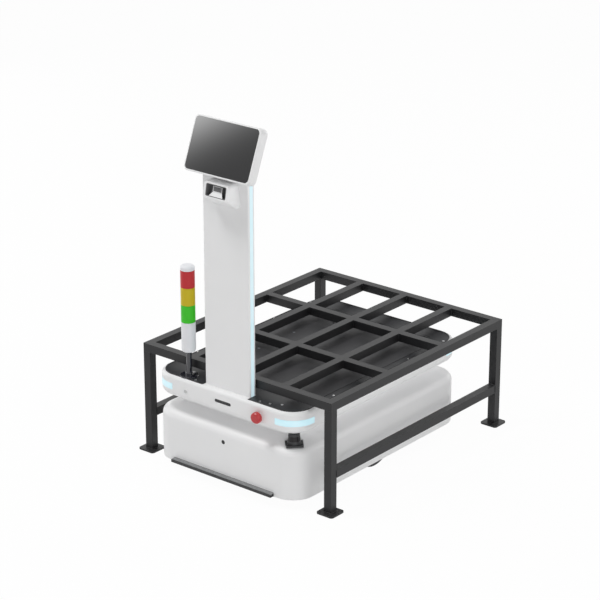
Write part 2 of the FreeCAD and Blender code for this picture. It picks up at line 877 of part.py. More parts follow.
def camera_pod_bezel():
    outer = front_prism(rectangle(recess_half_x, recess_half_z, recess_corner), 0.4, recess_depth)
    wall = 2.0
    inner = front_prism(rectangle(recess_half_x - wall, recess_half_z - wall,
                                  recess_corner - wall), 0, recess_depth - wall)
    window = front_prism(rectangle(camera_half_x - 3, camera_half_z - 3, 0, 0, camera_rise),
                         recess_depth - wall - 1, recess_depth + 1)
    lip = front_prism(rectangle(recess_half_x + 2, recess_half_z + 2, recess_corner + 2),
                      pod_wall + seat_gap, pod_wall + 2)
    return on_pod(outer.fuse(lip).cut([inner, window]).removeSplitter())


def pod_camera():
    """Camera behind the recess's window, with its lens and the plug through the back."""
    body = front_prism(rectangle(camera_half_x, camera_half_z, 0, 0, camera_rise),
                       camera_set_in, recess_depth - 2.0)
    lens = rod_along(Vec(0, camera_set_in - 1.0, camera_rise), Vec(0, 1, 0), 3, 5)
    plug = front_prism(rectangle(camera_half_x - 4, camera_half_z - 4, 0, 0, camera_rise),
                       recess_depth - 2.5, recess_depth + 4)
    return on_pod(joined([body, lens, plug]))


def button_collars():
    """Collars of the stop button and of the power button, clamped in the ring's face."""
    collars = []
    for x, radius, bore in ((estop_x, collar_radius, estop_shaft_radius),
                            (power_x, power_radius + 2, power_radius)):
        front = front_y - collar_thickness
        outside = rod_along(Vec(x, front, button_z), Vec(0, 1, 0), collar_thickness, radius)
        neck = rod_along(Vec(x, front_y - 1, button_z), Vec(0, 1, 0), shell_wall + 15,
                         radius - 1 - seat_gap)
        hole = rod_along(Vec(x, front - 1, button_z), Vec(0, 1, 0), shell_wall + 20,
                         bore + running_gap)
        collars.append(outside.fuse(neck).cut(hole).removeSplitter())
    return collars


def estop_button():
    """Mushroom head with a domed edge, on the shaft that runs back through the collar."""
    front = front_y - estop_reach
    back = front + estop_head_thickness
    edge = estop_radius - 4
    profile = [(0, front, 0), (edge - 4, front, 0), (edge + 1, front + 1.6, 0),
               (estop_radius - 0.6, front + 5, 0), (estop_radius, front + 8, 0),
               (estop_radius, back - 3, 0), (edge, back, 0), (0, back, 0)]
    face = Part.Face(rounded_wire(profile, lambda a, b: Vec(estop_x + a, b, button_z)))
    head = face.revolve(Vec(estop_x, 0, button_z), Vec(0, 1, 0), 360)
    shaft = rod_along(Vec(estop_x, back - 1, button_z), Vec(0, 1, 0),
                      front_y + shell_wall + 10 - back, estop_shaft_radius)
    return head.fuse(shaft).removeSplitter()


def power_button():
    front = front_y - power_reach
    return rod_along(Vec(power_x, front, button_z), Vec(0, 1, 0), power_reach + 14, power_radius)


def front_sensors():
    """Window of the slot camera in the ring, and the round sensor low in the nose."""
    inset = 0.8
    half_w = slot_width / 2 - seat_gap
    half_h = slot_height / 2 - seat_gap
    window = front_prism(rectangle(half_w, half_h, half_h - 0.1, 0, slot_z),
                         front_y + inset, front_y + shell_wall + 1)
    flange = front_prism(rectangle(half_w + 5, half_h + 4, 4, 0, slot_z),
                         front_y + shell_wall + seat_gap, front_y + shell_wall + 8)
    nose = rod_along(Vec(0, front_y + 0.5, nose_z), Vec(0, 1, 0), shell_wall + 4, nose_radius)
    nose_flange = rod_along(Vec(0, front_y + shell_wall + seat_gap, nose_z), Vec(0, 1, 0),
                            sensor_depth, nose_radius + 5)
    return [joined([window, flange]), joined([nose, nose_flange])]


def corner_lights():
    proud = 0.4
    return [corner_band(index, -proud, light_band_depth + proud - seat_gap, light_band_low_z,
                        light_band_high_z, light_band_straight) for index in range(4)]


def bumper_rail():
    """Folded aluminium strip on the nose: a back against the shell, and a top that falls away
    over the rubber edge."""
    back = front_y - seat_gap
    front = front_y - bumper_reach + bumper_lip
    high = bumper_low_z + bumper_height
    low_edge = high - bumper_fall
    points = [(back, bumper_low_z, 0), (back, high, 0), (front, low_edge, 0),
              (front, low_edge - bumper_sheet, 0), (back - bumper_sheet, high - bumper_sheet, 0),
              (back - bumper_sheet, bumper_low_z, 0)]
    return side_prism(points, -bumper_half_width, bumper_half_width)


def bumper_rubber():
    """Rubber edge with a hollow chamber, held under the strip and standing out before it."""
    back = front_y - 2 * seat_gap - bumper_sheet
    under_front = front_y - bumper_reach + bumper_lip
    front = front_y - bumper_reach
    low = bumper_low_z + 1.0
    high = bumper_low_z + bumper_height
    under_back_z = high - bumper_sheet - seat_gap
    under_front_z = under_back_z - bumper_fall
    points = [(back, low, 0), (back, under_back_z, 0), (under_front - seat_gap, under_front_z, 0),
              (under_front - seat_gap, high - bumper_fall - 0.8, 0),
              (front, high - bumper_fall - 0.8, -1), (front, low, -1.5)]
    edge = side_prism(points, -bumper_half_width, bumper_half_width)
    wall = 2.5
    chamber = side_prism([(front + wall, low + wall, 0), (back - wall, low + wall, 0),
                          (back - wall, under_front_z - wall, 0),
                          (front + wall, under_front_z - wall, 0)],
                         -bumper_half_width - 1, bumper_half_width + 1)
    return edge.cut(chamber)


def scanner_radius(z):
    """Radius of a scanner's cone at a height."""
    low = scanner_plate_z + scanner_plate_thickness
    share = (z - low) / (scanner_top_z - low)
    return scanner_base_radius + (scanner_top_radius - scanner_base_radius) * share


def scanner_housings():
    """Base with its plate, and the cap above the window, for both scanners."""
    solids = []
    low = scanner_plate_z + scanner_plate_thickness
    wide = scanner_radius(scanner_window_low_z)
    narrow = scanner_radius(scanner_window_high_z)
    for site in scanner_sites():
        x, y, _ = site
        plate = scanner_box(site, scanner_plate_width / 2, scanner_plate_depth, scanner_plate_z,
                            low, scanner_plate_shift)
        upright = [e for e in plate.Edges if e.BoundBox.ZLength > scanner_plate_thickness - 0.1]
        plate = plate.makeFillet(3.0, upright)
        cone = turned([(0, low, 0), (scanner_base_radius, low, 0),
                       (wide, scanner_window_low_z, 0), (0, scanner_window_low_z, 0)], x, y)
        solids.append(joined([plate, cone]))
        solids.append(turned([(0, scanner_window_high_z, 0), (narrow, scanner_window_high_z, 0),
                              (scanner_top_radius, scanner_top_z, -2), (0, scanner_top_z, 0)],
                             x, y))
    return solids


def scanner_windows():
    low = scanner_window_low_z
    high = scanner_window_high_z
    wide = scanner_radius(low)
    narrow = scanner_radius(high)
    section = [(scanner_bore_radius, low, 0), (wide - 0.4, low, 0), (narrow - 0.4, high, 0),
               (scanner_bore_radius, high, 0)]
    return [turned(section, x, y) for x, y, _ in scanner_sites()]


def scanner_rotor(site):
    """Spinning mirror head inside a scanner's window."""
    x, y, angle = site
    low = scanner_window_low_z + seat_gap
    high = scanner_window_high_z - seat_gap
    head = rod(x, y, low, high, rotor_radius)
    reach = 3 * rotor_radius
    slope = box(-reach, reach, -reach, reach, 0, reach)
    slope.rotate(Vec(0, 0, 0), Vec(0, 1, 0), 45)
    slope.translate(Vec(rotor_radius * 0.3, 0, (low + high) / 2))
    slope.rotate(Vec(0, 0, 0), Vec(0, 0, 1), angle)
    slope.translate(Vec(x, y, 0))
    return head.cut(slope)


def tower_stand():
    """Bolted flange, short neck and the pole of the signal tower."""
    flange_top = deck_z + tower_flange_thickness
    neck_top = flange_top + tower_neck_height
    neck = tower_pole_radius + 3
    flange = [(0, deck_z, 0), (tower_flange_radius, deck_z, 0),
              (tower_flange_radius, flange_top, -1), (neck, flange_top, 0),
              (neck, neck_top, -2), (0, neck_top, 0)]
    stand = [turned(flange, tower_x, tower_y)]
    stand.append(rod(tower_x, tower_y, neck_top - 1, tower_body_low_z, tower_pole_radius))
    for step in range(3):
        angle = math.radians(-100 + 120 * step)
        x = tower_x + 0.72 * tower_flange_radius * math.cos(angle)
        y = tower_y + 0.72 * tower_flange_radius * math.sin(angle)
        stand.append(rod(x, y, deck_z + 1, flange_top + 2.5, 3.5))
    return joined(stand)


def tower_body():
    low = tower_body_low_z
    body = turned([(0, low, 0), (tower_radius - 2, low, 0), (tower_radius, low + 6, 0),
                   (tower_radius, tower_green_z - lens_seam, 0),
                   (tower_core_radius, tower_green_z - lens_seam, 0),
                   (tower_core_radius, tower_cap_z - lens_seam, 0),
                   (0, tower_cap_z - lens_seam, 0)], tower_x, tower_y)
    return body


def tower_lens(low, high):
    """Hollow coloured lens, closed at its top round the lamp core."""
    outer = tower_radius
    inner = tower_radius - lens_wall
    top = high - lens_seam
    bore = tower_core_radius + seat_gap
    section = [(inner, low, 0), (outer, low, 0), (outer, top, -0.6), (bore, top, 0),
               (bore, top - lens_wall, 0), (inner, top - lens_wall, 0)]
    return turned(section, tower_x, tower_y)


def tower_cap():
    low = tower_cap_z
    high = tower_cap_z + tower_cap_height
    dome = [(0, low, 0), (tower_radius, low, 0), (tower_radius, high - 8, 0),
            (tower_radius - 1.2, high - 4.5, 0), (tower_radius - 4, high - 1.8, 0),
            (tower_radius - 9, high, 0), (0, high, 0)]
    return turned(dome, tower_x, tower_y)


def drive_tyre(side):
    outer = side * wheel_outer_x
    inner = side * (wheel_outer_x - wheel_width)
    low, high = min(outer, inner), max(outer, inner)
    rim = wheel_radius - tyre_thickness
    section = [(low, rim, 0), (low, wheel_radius, -4), (high, wheel_radius, -4), (high, rim, 0)]
    return about_axle(section)


def about_axle(section):
    """Turn a section of (x, radius, fillet) about the drive axle."""
    face = Part.Face(rounded_wire(section, lambda a, b: Vec(a, 0, wheel_radius + b)))
    return face.revolve(Vec(0, 0, wheel_radius), Vec(1, 0, 0), 360)


def drive_hub(side):
    """Wheel centre with its rim, web, lightening holes and the boss that takes the shaft."""
    rim = wheel_radius - tyre_thickness - running_gap
    middle = wheel_outer_x - wheel_width / 2
    half = wheel_width / 2 - 2
    boss_end = side_plate_x + seat_gap
    section = [(side * boss_end, 0.0, 0), (side * boss_end, wheel_bore_radius + 2, 0),
               (side * (middle - 6), wheel_bore_radius + 2, 0),
               (side * (middle - 6), 26, 0), (side * (middle - 4), rim - 10, 0),
               (side * (middle - half), rim - 8, 0), (side * (middle - half), rim, 0),
               (side * (middle + half), rim, 0), (side * (middle + half), rim - 8, 0),
               (side * (middle + 4), rim - 10, 0), (side * (middle + 6), 26, 0),
               (side * (middle + half), 22, 0), (side * (middle + half), 0.0, 0)]
    hub = about_axle(section)
    holes = []
    for step in range(6):
        angle = math.radians(60 * step)
        y = 50 * math.cos(angle)
        z = wheel_radius + 50 * math.sin(angle)
        holes.append(rod_along(Vec(side * middle - 15, y, z), Vec(1, 0, 0), 30, 11))
    return hub.cut(holes)


def drive_gearmotors():
    motors = []
    for side in (-1, 1):
        face_x = side_plate_x - seat_gap
        start = Vec(side * face_x, 0, wheel_radius)
        inward = Vec(-side, 0, 0)
        half = motor_flange / 2
        points = rectangle(half, min(half, wheel_radius - floor_top_z - seat_gap), 8,
                           0, wheel_radius)
        low = min(side * face_x, side * (face_x - motor_flange_thickness))
        flange = side_prism(points, low, low + motor_flange_thickness)
        gear = rod_along(start, inward, 60, motor_radius)
        body = rod_along(start, inward, motor_length, motor_radius - 5)
        end = rod_along(start + inward * (motor_length - 1), inward, 10, motor_radius - 16)
        motors.append(joined([flange, gear, body, end]))
    return motors


def caster_places():
    return [(sx * caster_x, sy * caster_y) for sy in (-1, 1) for sx in (-1, 1)]


def caster_plates():
    """Top plates of the four casters, with the bearing boss for each stem."""
    plates = []
    for x, y in caster_places():
        plate = box(x - caster_plate_half_x, x + caster_plate_half_x, y - caster_plate_half_y,
                    y + caster_plate_half_y, caster_plate_z, caster_top_z)
        boss = rod(x, y, caster_top_z - 1, caster_top_z + 8, caster_stem_radius + 1.7)
        hole = rod(x, y, caster_plate_z - 1, caster_top_z + 9, caster_stem_radius + running_gap)
        plates.append(joined([plate, boss]).cut(hole))
    return plates


def caster_fork(x, y):
    """Swivel head, two legs and the axle of one caster, trailing to the rear."""
    head_top = caster_plate_z - seat_gap
    bridge_low = head_top - 22
    inner = caster_width / 2 + 1.5
    axle_y = y + caster_trail
    head = turned([(0, bridge_low, 0), (26, bridge_low, 0), (26, bridge_low + 4, 0),
                   (30, head_top - 8, 0), (30, head_top, 0), (0, head_top, 0)], x, y)
    stem = rod(x, y, head_top - 1, caster_top_z + 9, caster_stem_radius)
    bridge = box(x - inner - fork_thickness, x + inner + fork_thickness, y - 22, y + 26,
                 bridge_low, bridge_low + 5)
    pieces = [head, stem, bridge]
    low_z = caster_radius - 9
    for side in (-1, 1):
        low = min(side * inner, side * (inner + fork_thickness))
        leg = side_prism([(y - 20, bridge_low + 5, 0), (y + 26, bridge_low + 5, 0),
                          (axle_y + 10, caster_radius, 8), (axle_y + 9, low_z, 8),
                          (axle_y - 9, low_z, 8), (axle_y - 12, caster_radius + 6, 8)],
                         x + low, x + low + fork_thickness)
        pieces.append(leg)
    pieces.append(rod_along(Vec(x - inner - fork_thickness - 3, axle_y, caster_radius),
                            Vec(1, 0, 0), 2 * (inner + fork_thickness + 3), caster_axle_radius))
    return joined(pieces)


def caster_wheel(x, y):
    axle_y = y + caster_trail
    half = caster_width / 2
    bore = caster_axle_radius + running_gap
    section = [(-half, bore, 0), (-half, 14, 0), (-half + 3, 15, 0), (-half + 3, 26, 0),
               (-half, 27, 0), (-half, caster_radius, -6), (half, caster_radius, -6),
               (half, 27, 0), (half - 3, 26, 0), (half - 3, 15, 0), (half, 14, 0),
               (half, bore, 0)]
    face = Part.Face(rounded_wire(section, lambda a, b: Vec(x + a, axle_y, caster_radius + b)))
    return face.revolve(Vec(x, axle_y, caster_radius), Vec(1, 0, 0), 360)


def lift_plate():
    points = rectangle(lift_plate_half_x, lift_plate_half_y, lift_plate_corner, 0, lift_y)
    plate = prism(points, lift_plate_low_z, deck_z)
    holes = []
    for sx in (-1, 1):
        for sy in (-1, 1):
            holes.append(rod(sx * top_hole_pitch_x / 2, lift_y + sy * top_hole_pitch_y / 2,
                             lift_plate_low_z - 1, deck_z + 1, top_hole_radius))
    for x, y in post_places():
        holes.append(rod(x, y, lift_plate_low_z - 1, deck_z + 1, post_pin_radius + seat_gap))
    return plate.cut(holes)


def lift_carriage():
    """Cross bars under the plate, the four guide posts and the tube down to the nut."""
    high = lift_plate_low_z
    low = high - carriage_height
    half_bar = carriage_bar / 2
    bars = []
    for sy in (-1, 1):
        y = lift_y + sy * post_pitch_y
        bars.append(box(-post_x - 60, post_x + 60, y - half_bar, y + half_bar, low, high))
    for x in (-post_x, 0, post_x):
        bars.append(box(x - half_bar, x + half_bar, lift_y - 2.4 * post_pitch_y,
                        lift_y + 2.4 * post_pitch_y, low, high))
    posts = []
    for x, y in post_places():
        posts.append(rod(x, y, post_bottom_z, high, post_radius))
        posts.append(rod(x, y, high - 1, deck_z - seat_gap, post_pin_radius))
    tube = rod(0, lift_y, nut_bottom_z + nut_height, high, nut_radius + 4)
    room = rod(0, lift_y, nut_bottom_z + nut_height - 1, high + 1, screw_radius + 4)
    return joined(bars + posts + [tube]).cut(room)


def lift_nut():
    low = nut_bottom_z
    high = nut_bottom_z + nut_height
    bore = screw_radius + running_gap
    section = [(bore, low, 0), (nut_radius - 4, low, 0), (nut_radius - 4, high - 10, 0),
               (nut_radius + 4, high - 10, 0), (nut_radius + 4, high, 0), (bore, high, 0)]
    return turned(section, 0, lift_y)


def lift_screw():
    """Ball screw with the coupling that takes it down to the motor."""
    low = floor_top_z + lift_motor_height + seat_gap
    top = lift_plate_low_z - screw_top_gap
    coupling_top = low + 18
    return turned([(0, low, 0), (16, low, 0), (16, coupling_top, -1.5),
                   (screw_radius, coupling_top, 0), (screw_radius, top, -1.5), (0, top, 0)],
                  0, lift_y)


def lift_motor():
    """Motor with its brake, and the lantern that carries the screw's bearing."""
    low = floor_top_z + seat_gap
    high = floor_top_z + lift_motor_height
    half = lift_motor_size / 2
    body = prism(rectangle(half, half, 8, 0, lift_y), low, high)
    top = high + lantern_height
    lantern = rod(0, lift_y, high, top, half - 4)
    room = rod(0, lift_y, high, top - 9, 22)
    bore = rod(0, lift_y, top - 10, top + 1, screw_radius + running_gap)
    window = box(-half, half, lift_y - 12, lift_y + 12, high + 4, top - 12)
    return joined([body, lantern.cut([room, bore, window])])


def lift_guides():
    """Flanged bushes on the waist plate that the four posts slide in."""
    low = waist_plate_top_z
    section = [(post_radius + running_gap, low, 0), (bush_radius + 8, low, 0),
               (bush_radius + 8, low + 7, -1.5), (bush_radius, low + 7, 0),
               (bush_radius, low + bush_height, -2),
               (post_radius + running_gap, low + bush_height, 0)]
    return [turned(section, x, y) for x, y in post_places()]


def battery_pack():
    low = floor_top_z + seat_gap
    high = low + battery_height
    case = prism(rectangle(battery_half_x, battery_half_y, 10, 0, battery_y), low, high)
    grip = prism(rectangle(45, 14, 8, 0, battery_y + battery_half_y - 30), high - 14, high + 1)
    ribs = []
    for step in range(-2, 3):
        y = battery_y + step * battery_half_y / 3
        ribs.append(box(-battery_half_x + 20, battery_half_x - 20, y - 3, y + 3, high - 1,
                        high + 3))
    plug = prism(rectangle(22, 12, 3, 60, battery_y - battery_half_y + 22), high - 1, high + 16)
    return joined([case.cut(grip), plug] + ribs[:4])


def control_boxes():
    """Control computer and motor driver, each a finned case on the base plate."""
    low = floor_top_z + seat_gap
    boxes = []
    for y, half, height in ((computer_y, computer_half_y, computer_height),
                            (driver_y, driver_half_y, driver_height)):
        case = box(-computer_half_x, computer_half_x, y - half, y + half, low,
                   low + height - 12)
        fins = []
        for step in range(9):
            x = -computer_half_x + 8 + step * (2 * computer_half_x - 20) / 8
            fins.append(box(x, x + 4, y - half + 4, y + half - 4, low + height - 13,
                            low + height))
        boxes.append(joined([case] + fins))
    return boxes


def charge_port():
    """Socket for the charging dock in the rear wall."""
    low_y = half_y - charge_port_depth
    body = box(-charge_port_half_x, charge_port_half_x, low_y, half_y - 0.5,
               charge_port_low_z, charge_port_high_z)
    flange = box(-charge_port_half_x - 8, charge_port_half_x + 8, low_y,
                 half_y - shell_wall - seat_gap, charge_port_low_z - 8, charge_port_high_z + 8)
    grooves = []
    for z in charge_bar_heights():
        grooves.append(box(-charge_bar_half_x - seat_gap, charge_bar_half_x + seat_gap,
                           half_y - 6, half_y, z - charge_bar_height / 2 - seat_gap,
                           z + charge_bar_height / 2 + seat_gap))
    return body.fuse(flange).cut(grooves).removeSplitter()


def charge_bar_heights():
    middle = (charge_port_low_z + charge_port_high_z) / 2
    return (middle - 11, middle + 11)


def charge_contacts():
    bars = []
    for z in charge_bar_heights():
        bar = box(-charge_bar_half_x, charge_bar_half_x, half_y - 6, half_y - 1,
                  z - charge_bar_height / 2, z + charge_bar_height / 2)
        long_edges = [e for e in bar.Edges if e.BoundBox.XLength > charge_bar_half_x
                      and e.BoundBox.YMin > half_y - 2]
        bars.append(bar.makeFillet(1.5, long_edges))
    return bars


def tube_along(axis, length, centre):
    """Square rack tube along an axis (0 for X, 1 for Y, 2 for Z), about its middle."""
    half = rack_tube / 2
    solids = []
    for size in (half, half - rack_tube_wall):
        reach = [size, size, size]
        reach[axis] = length / 2
        solids.append(box(centre[0] - reach[0], centre[0] + reach[0], centre[1] - reach[1],
                          centre[1] + reach[1], centre[2] - reach[2], centre[2] + reach[2]))
    return solids[0].cut(solids[1])


def rack_leg_places():
    x = rack_half_x - rack_tube / 2
    y = rack_half_y - rack_tube / 2
    return [(sx * x, rack_offset + sy * y) for sy in (-1, 1) for sx in (-1, 1)]


def rack_legs():
    """Leg tubes, and the plate welded under each."""
    pieces = []
    beam_low = rack_height - rack_tube
    for x, y in rack_leg_places():
        length = beam_low - foot_thickness
        pieces.append(tube_along(2, length, (x, y, foot_thickness + length / 2)))
        pieces.append(prism(rectangle(foot_size / 2, foot_size / 2, foot_corner, x, y), 0,
                            foot_thickness))
    return pieces


def rack_side_rails():
    x = rack_half_x - rack_tube / 2
    length = rack_length - 2 * rack_tube
    z = rack_rail_z + rack_tube / 2
    return [tube_along(1, length, (side * x, rack_offset, z)) for side in (-1, 1)]


def mitred_bar(axis, side, inset, low_z, high_z):
    """Bar of the top frame with mitred ends, drawn in from the tube's faces by the inset."""
    halves = (rack_half_x, rack_half_y)
    long_half = halves[axis] - inset
    outer = halves[1 - axis] - inset
    width = rack_tube - 2 * inset
    corners = [(-long_half, outer), (long_half, outer), (long_half - width, outer - width),
               (width - long_half, outer - width)]
    points = []
    for along, across in corners:
        if axis == 0:
            points.append((along, rack_offset + side * across, 0))
        else:
            points.append((side * across, rack_offset + along, 0))
    return prism(points, low_z, high_z)


def rack_top_beams():
    """Front, rear and side tubes of the top frame, mitred into each other."""
    low = rack_height - rack_tube
    wall = rack_tube_wall
    beams = []
    for axis in (0, 1):
        for side in (-1, 1):
            outside = mitred_bar(axis, side, 0, low, rack_height)
            beams.append(outside.cut(mitred_bar(axis, side, wall, low + wall,
                                                rack_height - wall)))
    return beams


def rack_lines(half, cells):
    """Middles of the equally spaced tubes between two outer ones."""
    pitch = (2 * half - rack_tube) / cells
    first = -half + rack_tube / 2
    return [first + pitch * step for step in range(1, cells)], pitch


def rack_grid_beams():
    """Long tubes from front to rear, with the short cross tubes between them."""
    z = rack_height - rack_tube / 2
    long_lines, pitch_x = rack_lines(rack_half_x, cell_column_count)
    cross_lines, _ = rack_lines(rack_half_y, cell_row_count)
    beams = [tube_along(1, rack_length - 2 * rack_tube, (x, rack_offset, z)) for x in long_lines]
    for y in cross_lines:
        for step in range(cell_column_count):
            x = -rack_half_x + rack_tube / 2 + pitch_x * (step + 0.5)
            beams.append(tube_along(0, pitch_x - rack_tube, (x, rack_offset + y, z)))
    return beams


def save(name, shape):
    """Write one node, moved so that the origin is in the middle of the whole part."""
    solids = shape if isinstance(shape, list) else [shape]
    moved = []
    for solid in solids:
        placed = solid.copy()
        placed.translate(Vec(0, -origin_y, 0))
        moved.extend(placed.Solids)
    result = moved[0] if len(moved) == 1 else Part.makeCompound(moved)
    result.exportStep("parts/" + name + ".step")


def main():
    os.makedirs("parts", exist_ok=True)
    save("chassis_frame", chassis_frame())
    save("lower_shell", lower_shell())
    save("upper_shell", upper_shell())
    save("deck_panel", deck_panel())
    save("deck_screws", deck_screws())
    save("corner_lights", corner_lights())
    save("button_collars", button_collars())
    save("estop_button", estop_button())
    save("power_button", power_button())
    save("front_sensors", front_sensors())
    save("bumper_rail", bumper_rail())
    save("bumper_rubber", bumper_rubber())
    save("scanner_housings", scanner_housings())
    save("scanner_windows", scanner_windows())
    for name, site in zip(("front", "rear"), scanner_sites()):
        save("scanner_rotor_" + name, scanner_rotor(site))
    save("column_frame", column_frame())
    save("column_front_shell", column_front_shell())
    save("column_back_cover", column_back_cover())
    save("column_light_strips", column_light_strips())
    save("screen_glass", screen_glass())
    save("screen_front_frame", screen_front_frame())
    save("screen_rear_housing", screen_rear_housing())
    save("display_module", display_module())
    save("camera_pod_shell", camera_pod_shell())
    save("camera_pod_bezel", camera_pod_bezel())
    save("pod_camera", pod_camera())
    save("tower_stand", tower_stand())
    save("tower_body", tower_body())
    save("tower_green_lens", tower_lens(tower_green_z, tower_amber_z))
    save("tower_amber_lens", tower_lens(tower_amber_z, tower_red_z))
    save("tower_red_lens", tower_lens(tower_red_z, tower_cap_z))
    save("tower_cap", tower_cap())
    for name, side in (("left", -1), ("right", 1)):
        save("drive_hub_" + name, drive_hub(side))
        save("drive_tyre_" + name, drive_tyre(side))
    save("drive_gearmotors", drive_gearmotors())
    save("caster_plates", caster_plates())
    for number, (x, y) in enumerate(caster_places(), 1):
        save("caster_fork_%d" % number, caster_fork(x, y))
        save("caster_wheel_%d" % number, caster_wheel(x, y))
    save("lift_plate", lift_plate())
    save("lift_carriage", lift_carriage())
    save("lift_nut", lift_nut())
    save("lift_screw", lift_screw())
    save("lift_motor", lift_motor())
    save("lift_guides", lift_guides())
    save("battery_pack", battery_pack())
    save("control_boxes", control_boxes())
    save("charge_port", [charge_port()] + charge_contacts())
    save("rack_legs", rack_legs())
    save("rack_side_rails", rack_side_rails())
    save("rack_top_beams", rack_top_beams())
    save("rack_grid_beams", rack_grid_beams())


main()
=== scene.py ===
# %% [markdown]
# # A lifting mobile robot under its load rack
# This notebook dresses the engineering model of a warehouse robot: a low white body, a column
# with a tilted display, a signal tower, and the dark rack of square tube that it lifts. The
# engineering model already has every piece in place, so most of the work here is finish: what
# each surface is made of, how its edges catch the light, and the small pieces, such as weld
# beads and screw heads, that are too fine for the engineering model.

# %% Load the engineering model
import math
import random

import bmesh
import bpy
from mathutils import Matrix, Vector


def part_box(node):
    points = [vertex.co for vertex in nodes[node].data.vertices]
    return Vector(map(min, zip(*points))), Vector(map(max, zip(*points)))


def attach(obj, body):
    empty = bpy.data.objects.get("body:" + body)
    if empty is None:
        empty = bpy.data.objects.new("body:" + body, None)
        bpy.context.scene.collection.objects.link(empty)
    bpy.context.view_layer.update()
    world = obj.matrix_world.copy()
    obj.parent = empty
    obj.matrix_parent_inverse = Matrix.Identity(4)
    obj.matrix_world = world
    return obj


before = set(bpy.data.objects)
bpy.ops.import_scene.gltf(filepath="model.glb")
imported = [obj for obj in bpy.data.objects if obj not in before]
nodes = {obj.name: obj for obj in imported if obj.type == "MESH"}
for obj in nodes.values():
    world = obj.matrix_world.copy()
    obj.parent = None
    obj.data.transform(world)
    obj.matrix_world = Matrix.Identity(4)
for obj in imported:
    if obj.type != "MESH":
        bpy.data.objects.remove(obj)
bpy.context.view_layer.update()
print("pieces in the engineering model:", len(nodes))

# %% [markdown]
# ## Sizes that the finish needs
# Blender works in metres. The sizes of the pieces come from the engineering model, so they are
# read from its boxes. A box doesn't tell a corner's radius or a plate's thickness, so the few of
# those that the new pieces need are typed where they are used.

# %% Sizes read from the model
MM = 0.001
rack_low, rack_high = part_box("rack_top_beams")
rail_low, rail_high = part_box("rack_side_rails")
deck_low, deck_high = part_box("deck_panel")
rack_centre = (rack_low + rack_high) / 2
tube = rack_high.z - rack_low.z
print("tube width in mm:", round(tube / MM, 1))

# %% [markdown]
# ## The camera
# The photograph looks down on the right front corner with a long lens. Its viewpoint is given
# the way a photographer would note it: how far round the object, how high, how far away, and
# which way the picture was shifted. The lens's focal length was found from how fast the rack's
# tubes run together. A Track To constraint could aim the camera as well, but a matrix made from
# the two angles keeps every number in sight.

# %% Camera
AROUND = math.radians(39.39)
ABOVE = math.radians(21.06)
DISTANCE = 8.241
SLIDE_RIGHT = -0.0896
SLIDE_UP = 0.4912
FOCAL_MM = 136.24
SENSOR_MM = 36.0
CLIP_END = 100.0

towards = Vector((math.sin(AROUND) * math.cos(ABOVE), -math.cos(AROUND) * math.cos(ABOVE),
                  math.sin(ABOVE)))
rightwards = Vector((math.cos(AROUND), math.sin(AROUND), 0.0))
upwards = towards.cross(rightwards)
aim = Vector((rack_centre.x, rack_centre.y, 0.0))

camera_data = bpy.data.cameras.new("camera")
camera_data.lens = FOCAL_MM
camera_data.sensor_width = SENSOR_MM
camera_data.clip_end = CLIP_END
camera = bpy.data.objects.new("camera", camera_data)
bpy.context.scene.collection.objects.link(camera)
turn = Matrix((rightwards, upwards, towards)).transposed()
camera.matrix_world = turn.to_4x4()
camera.location = aim + towards * DISTANCE + rightwards * SLIDE_RIGHT + upwards * SLIDE_UP
bpy.context.scene.camera = camera
print("camera height in m:", round(camera.location.z, 2))

# %% [markdown]
# ## Light
# The photograph is a studio picture on pure white with almost no shadow: light comes from all
# round at about the object's own height, so that it gets in under the ring too, and a little
# more from above, which gives the upward roundings their bright line. Photographers call it a
# light tent: large soft lamps round the object, one above, and an even white world that fills
# what they leave. The background is white only to the camera and in reflections, so that it
# doesn't wash out the object: the Light Path node tells those rays from the ones that carry
# light.

# %% World
WORLD_LEVEL = 0.32
BACKGROUND_WHITE = 1.0
WHITE = (1.0, 1.0, 1.0, 1.0)

bpy.context.scene.view_settings.view_transform = "Standard"
world = bpy.data.worlds.new("studio")
bpy.context.scene.world = world
world.use_nodes = True
tree = world.node_tree
tree.nodes.clear()
output = tree.nodes.new("ShaderNodeOutputWorld")
mix = tree.nodes.new("ShaderNodeMixShader")
even = tree.nodes.new("ShaderNodeBackground")
seen = tree.nodes.new("ShaderNodeBackground")
rays = tree.nodes.new("ShaderNodeLightPath")
even.inputs["Color"].default_value = WHITE
even.inputs["Strength"].default_value = WORLD_LEVEL
seen.inputs["Color"].default_value = WHITE
seen.inputs["Strength"].default_value = BACKGROUND_WHITE
either = tree.nodes.new("ShaderNodeMath")
either.operation = "MAXIMUM"
seen_ray = tree.nodes.new("ShaderNodeMath")
seen_ray.operation = "MAXIMUM"
tree.links.new(rays.outputs["Is Camera Ray"], either.inputs[0])
tree.links.new(rays.outputs["Is Glossy Ray"], either.inputs[1])
tree.links.new(either.outputs[0], seen_ray.inputs[0])
tree.links.new(rays.outputs["Is Transmission Ray"], seen_ray.inputs[1])
tree.links.new(seen_ray.outputs[0], mix.inputs["Fac"])
tree.links.new(even.outputs["Background"], mix.inputs[1])
tree.links.new(seen.outputs["Background"], mix.inputs[2])
tree.links.new(mix.outputs["Shader"], output.inputs["Surface"])
print("nodes in the world:", len(tree.nodes))

# %% [markdown]
# Each lamp is a wide rectangle, because a small one would draw hard shadows. The high one is the
# smallest and strongest, and draws the bright lines along the upper roundings. The front one is
# faint, because the others and the white world light the nose well enough.

# %% Lamps
LAMPS_AIM_AT = (0.0, 0.0, 0.5)

